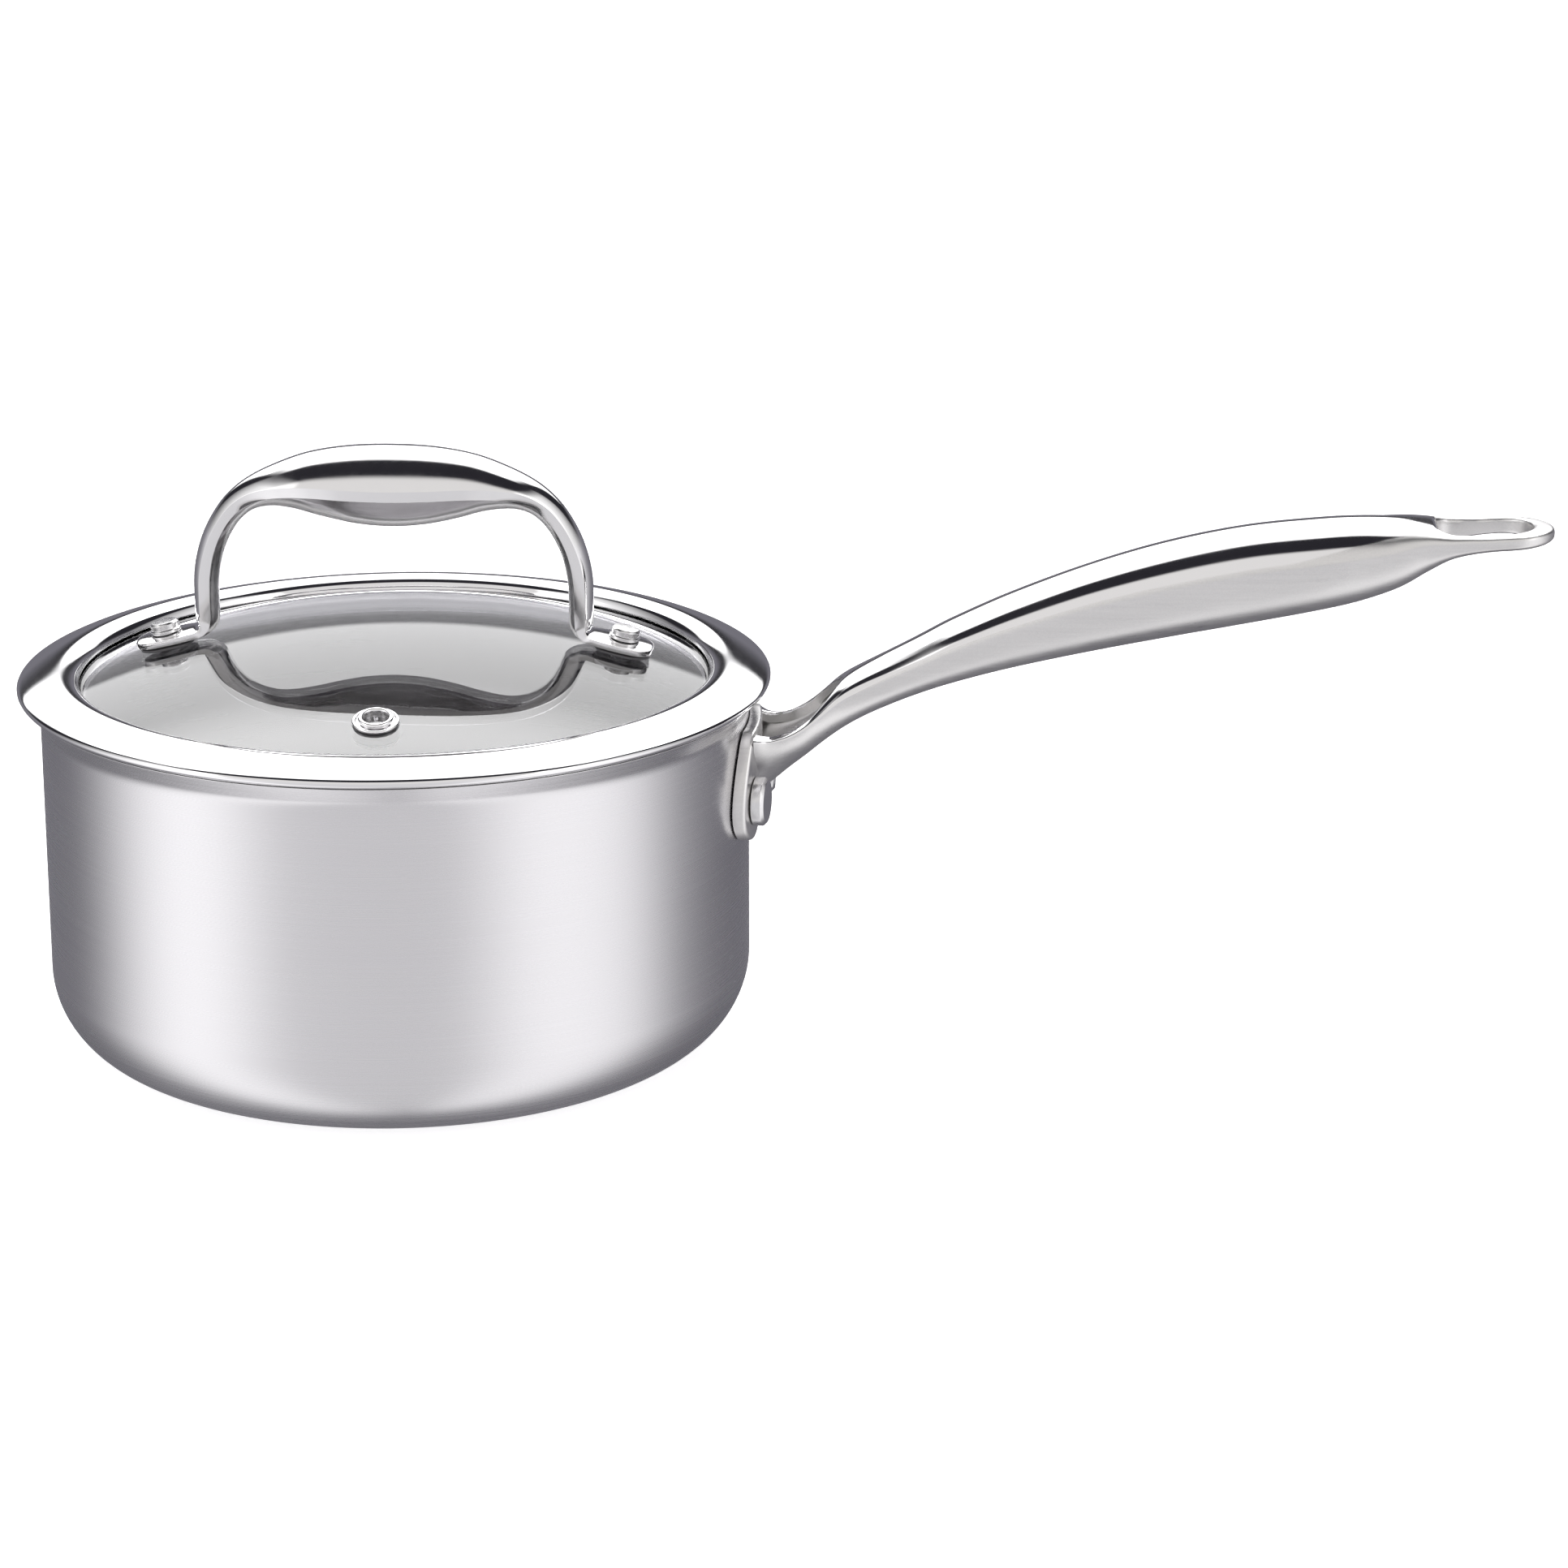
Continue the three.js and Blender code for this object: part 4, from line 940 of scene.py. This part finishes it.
beta = pitch()
lateral = w.math("MULTIPLY", w.math("ARCSINE", dx), 57.29578)
azimuth = w.math("MULTIPLY", w.math("ARCTAN2", dx, w.math("MULTIPLY", dy, -1.0)), 57.29578)
turn = w.math("ABSOLUTE", azimuth)
ramp = w.node("ShaderNodeValToRGB")
STOPS = [(-180, 0.07), (-150, 0.08), (-126, 0.12), (-112, 0.20), (-96, 0.62), (-78, 1.20), (-62, 1.26), (-50, 1.12), (-38, 0.88), (-27, 0.71),
         (0, 0.68), (22, 0.67), (33, 0.84), (46, 1.08), (60, 1.15), (75, 1.13), (88, 0.98), (100, 0.62), (113, 0.29), (130, 0.13), (150, 0.08), (180, 0.07)]
ramp.color_ramp.interpolation = "B_SPLINE"
els = ramp.color_ramp.elements
while len(els) < len(STOPS):
    els.new(0.5)
for e2, (deg, val) in zip(els, STOPS):
    e2.position = (deg + 180) / 360
for e2, (deg, val) in zip(els, STOPS):
    e2.color = (val / 2, val / 2, val / 2, 1)
w.put(ramp.inputs[0], w.remap(azimuth, -180.0, 180.0))
around = w.math("MULTIPLY", w.split(ramp.outputs["Color"])[0], 2.0)
limit = w.math("ADD", w.math("MULTIPLY", window(turn, 52.0, 112.0, 12.0), 36.0), 11.0)
low = w.remap(w.math("SUBTRACT", el, limit), -5.0, 5.0, 1.0, 0.0)
layers = [
    # purple-grey surroundings, darkest just under the key panel
    panel([w.remap(el, -30.0, 8.0, 0.7, 1.0), w.remap(el, 5.0, 12.0, 1.0, 0.2)], (0.125, 0.12, 0.15), 1.0),
    # the pale table and the tall side panels, all the way round
    panel([around, low], (1.0, 0.995, 0.99), 1.0),
    # key panel: behind and above, brighter towards the top
    panel([window(beta, 16.0, 80.0, 1.2, 2.5), window(lateral, -36.0, 29.0, 4.0), w.math("ADD", w.math("ADD", w.remap(beta, 16.0, 40.0, 1.95, 3.1), w.remap(beta, 34.0, 52.0, 0.0, 3.4, kind="SMOOTHSTEP")), w.remap(beta, 57.0, 64.0, 0.0, -4.6, kind="SMOOTHSTEP"))], (1.0, 1.0, 1.0), 1.0),
    # front panel, above the camera
    panel([window(beta, 110.0, 168.0, 3.5, 6.0), window(lateral, -62.0, 62.0, 14.0)], (0.86, 0.845, 0.83), 1.0),
]
total = layers[0]
for extra in layers[1:]:
    n = w.node("ShaderNodeVectorMath", operation="ADD")
    w.put(n.inputs[0], total), w.put(n.inputs[1], extra)
    total = n.outputs[0]
bg = w.node("ShaderNodeBackground")
w.put(bg.inputs["Color"], total)
out = w.node("ShaderNodeOutputWorld")
w.t.links.new(bg.outputs[0], out.inputs[0])

# Pale floor, and a pale backdrop seen by the camera only
S = 9.0
me = bpy.data.meshes.new("floor")
me.from_pydata([(-S, -S, -0.0003), (S, -S, -0.0003), (S, S, -0.0003), (-S, S, -0.0003)], [], [(0, 1, 2, 3)])
floor = bpy.data.objects.new("floor", me)
scene.collection.objects.link(floor)
fm2 = bpy.data.materials.new("pale_floor")
fm2.use_nodes = True
ft = Tree(fm2.node_tree)
fo = ft.node("ShaderNodeOutputMaterial")
dif = ft.node("ShaderNodeBsdfDiffuse")
dif.inputs["Color"].default_value = (0.9, 0.9, 0.9, 1)
emi = ft.node("ShaderNodeEmission")
emi.inputs["Color"].default_value = (1, 1, 1, 1)
emi.inputs["Strength"].default_value = 0.55
add = ft.node("ShaderNodeAddShader")
ft.t.links.new(dif.outputs[0], add.inputs[0])
ft.t.links.new(emi.outputs[0], add.inputs[1])
clear = ft.node("ShaderNodeBsdfTransparent")
mixs = ft.node("ShaderNodeMixShader")
ft.put(mixs.inputs[0], ft.node("ShaderNodeNewGeometry").outputs["Backfacing"])
ft.t.links.new(add.outputs[0], mixs.inputs[1])
ft.t.links.new(clear.outputs[0], mixs.inputs[2])
ft.t.links.new(mixs.outputs[0], fo.inputs[0])
me.materials.append(fm2)
floor.visible_glossy = False
floor.visible_shadow = False

import bmesh

bm = bmesh.new()
bmesh.ops.create_icosphere(bm, subdivisions=4, radius=11.0)
bmesh.ops.reverse_faces(bm, faces=bm.faces)
me = bpy.data.meshes.new("backdrop")
bm.to_mesh(me)
bm.free()
drop = bpy.data.objects.new("backdrop", me)
scene.collection.objects.link(drop)
dm = bpy.data.materials.new("pale_backdrop")
dm.use_nodes = True
dt = Tree(dm.node_tree)
do = dt.node("ShaderNodeOutputMaterial")
de = dt.node("ShaderNodeEmission")
de.inputs["Color"].default_value = (1, 1, 1, 1)
de.inputs["Strength"].default_value = 1.0
dt.t.links.new(de.outputs[0], do.inputs[0])
me.materials.append(dm)
for flag in ("visible_diffuse", "visible_glossy", "visible_shadow", "visible_volume_scatter"):
    setattr(drop, flag, False)

# Camera
cam_data = bpy.data.cameras.new("camera")
cam_data.lens = 110.0
cam_data.sensor_width = 36.0
cam_data.clip_start, cam_data.clip_end = 0.02, 60.0
cam = bpy.data.objects.new("camera", cam_data)
scene.collection.objects.link(cam)
cam.location = (0.142392, -1.037960, 0.385367)
cam.rotation_mode = "QUATERNION"
cam.rotation_quaternion = Vector((-0.049848, 0.953206, -0.298184)).to_track_quat("-Z", "Y")
scene.camera = cam
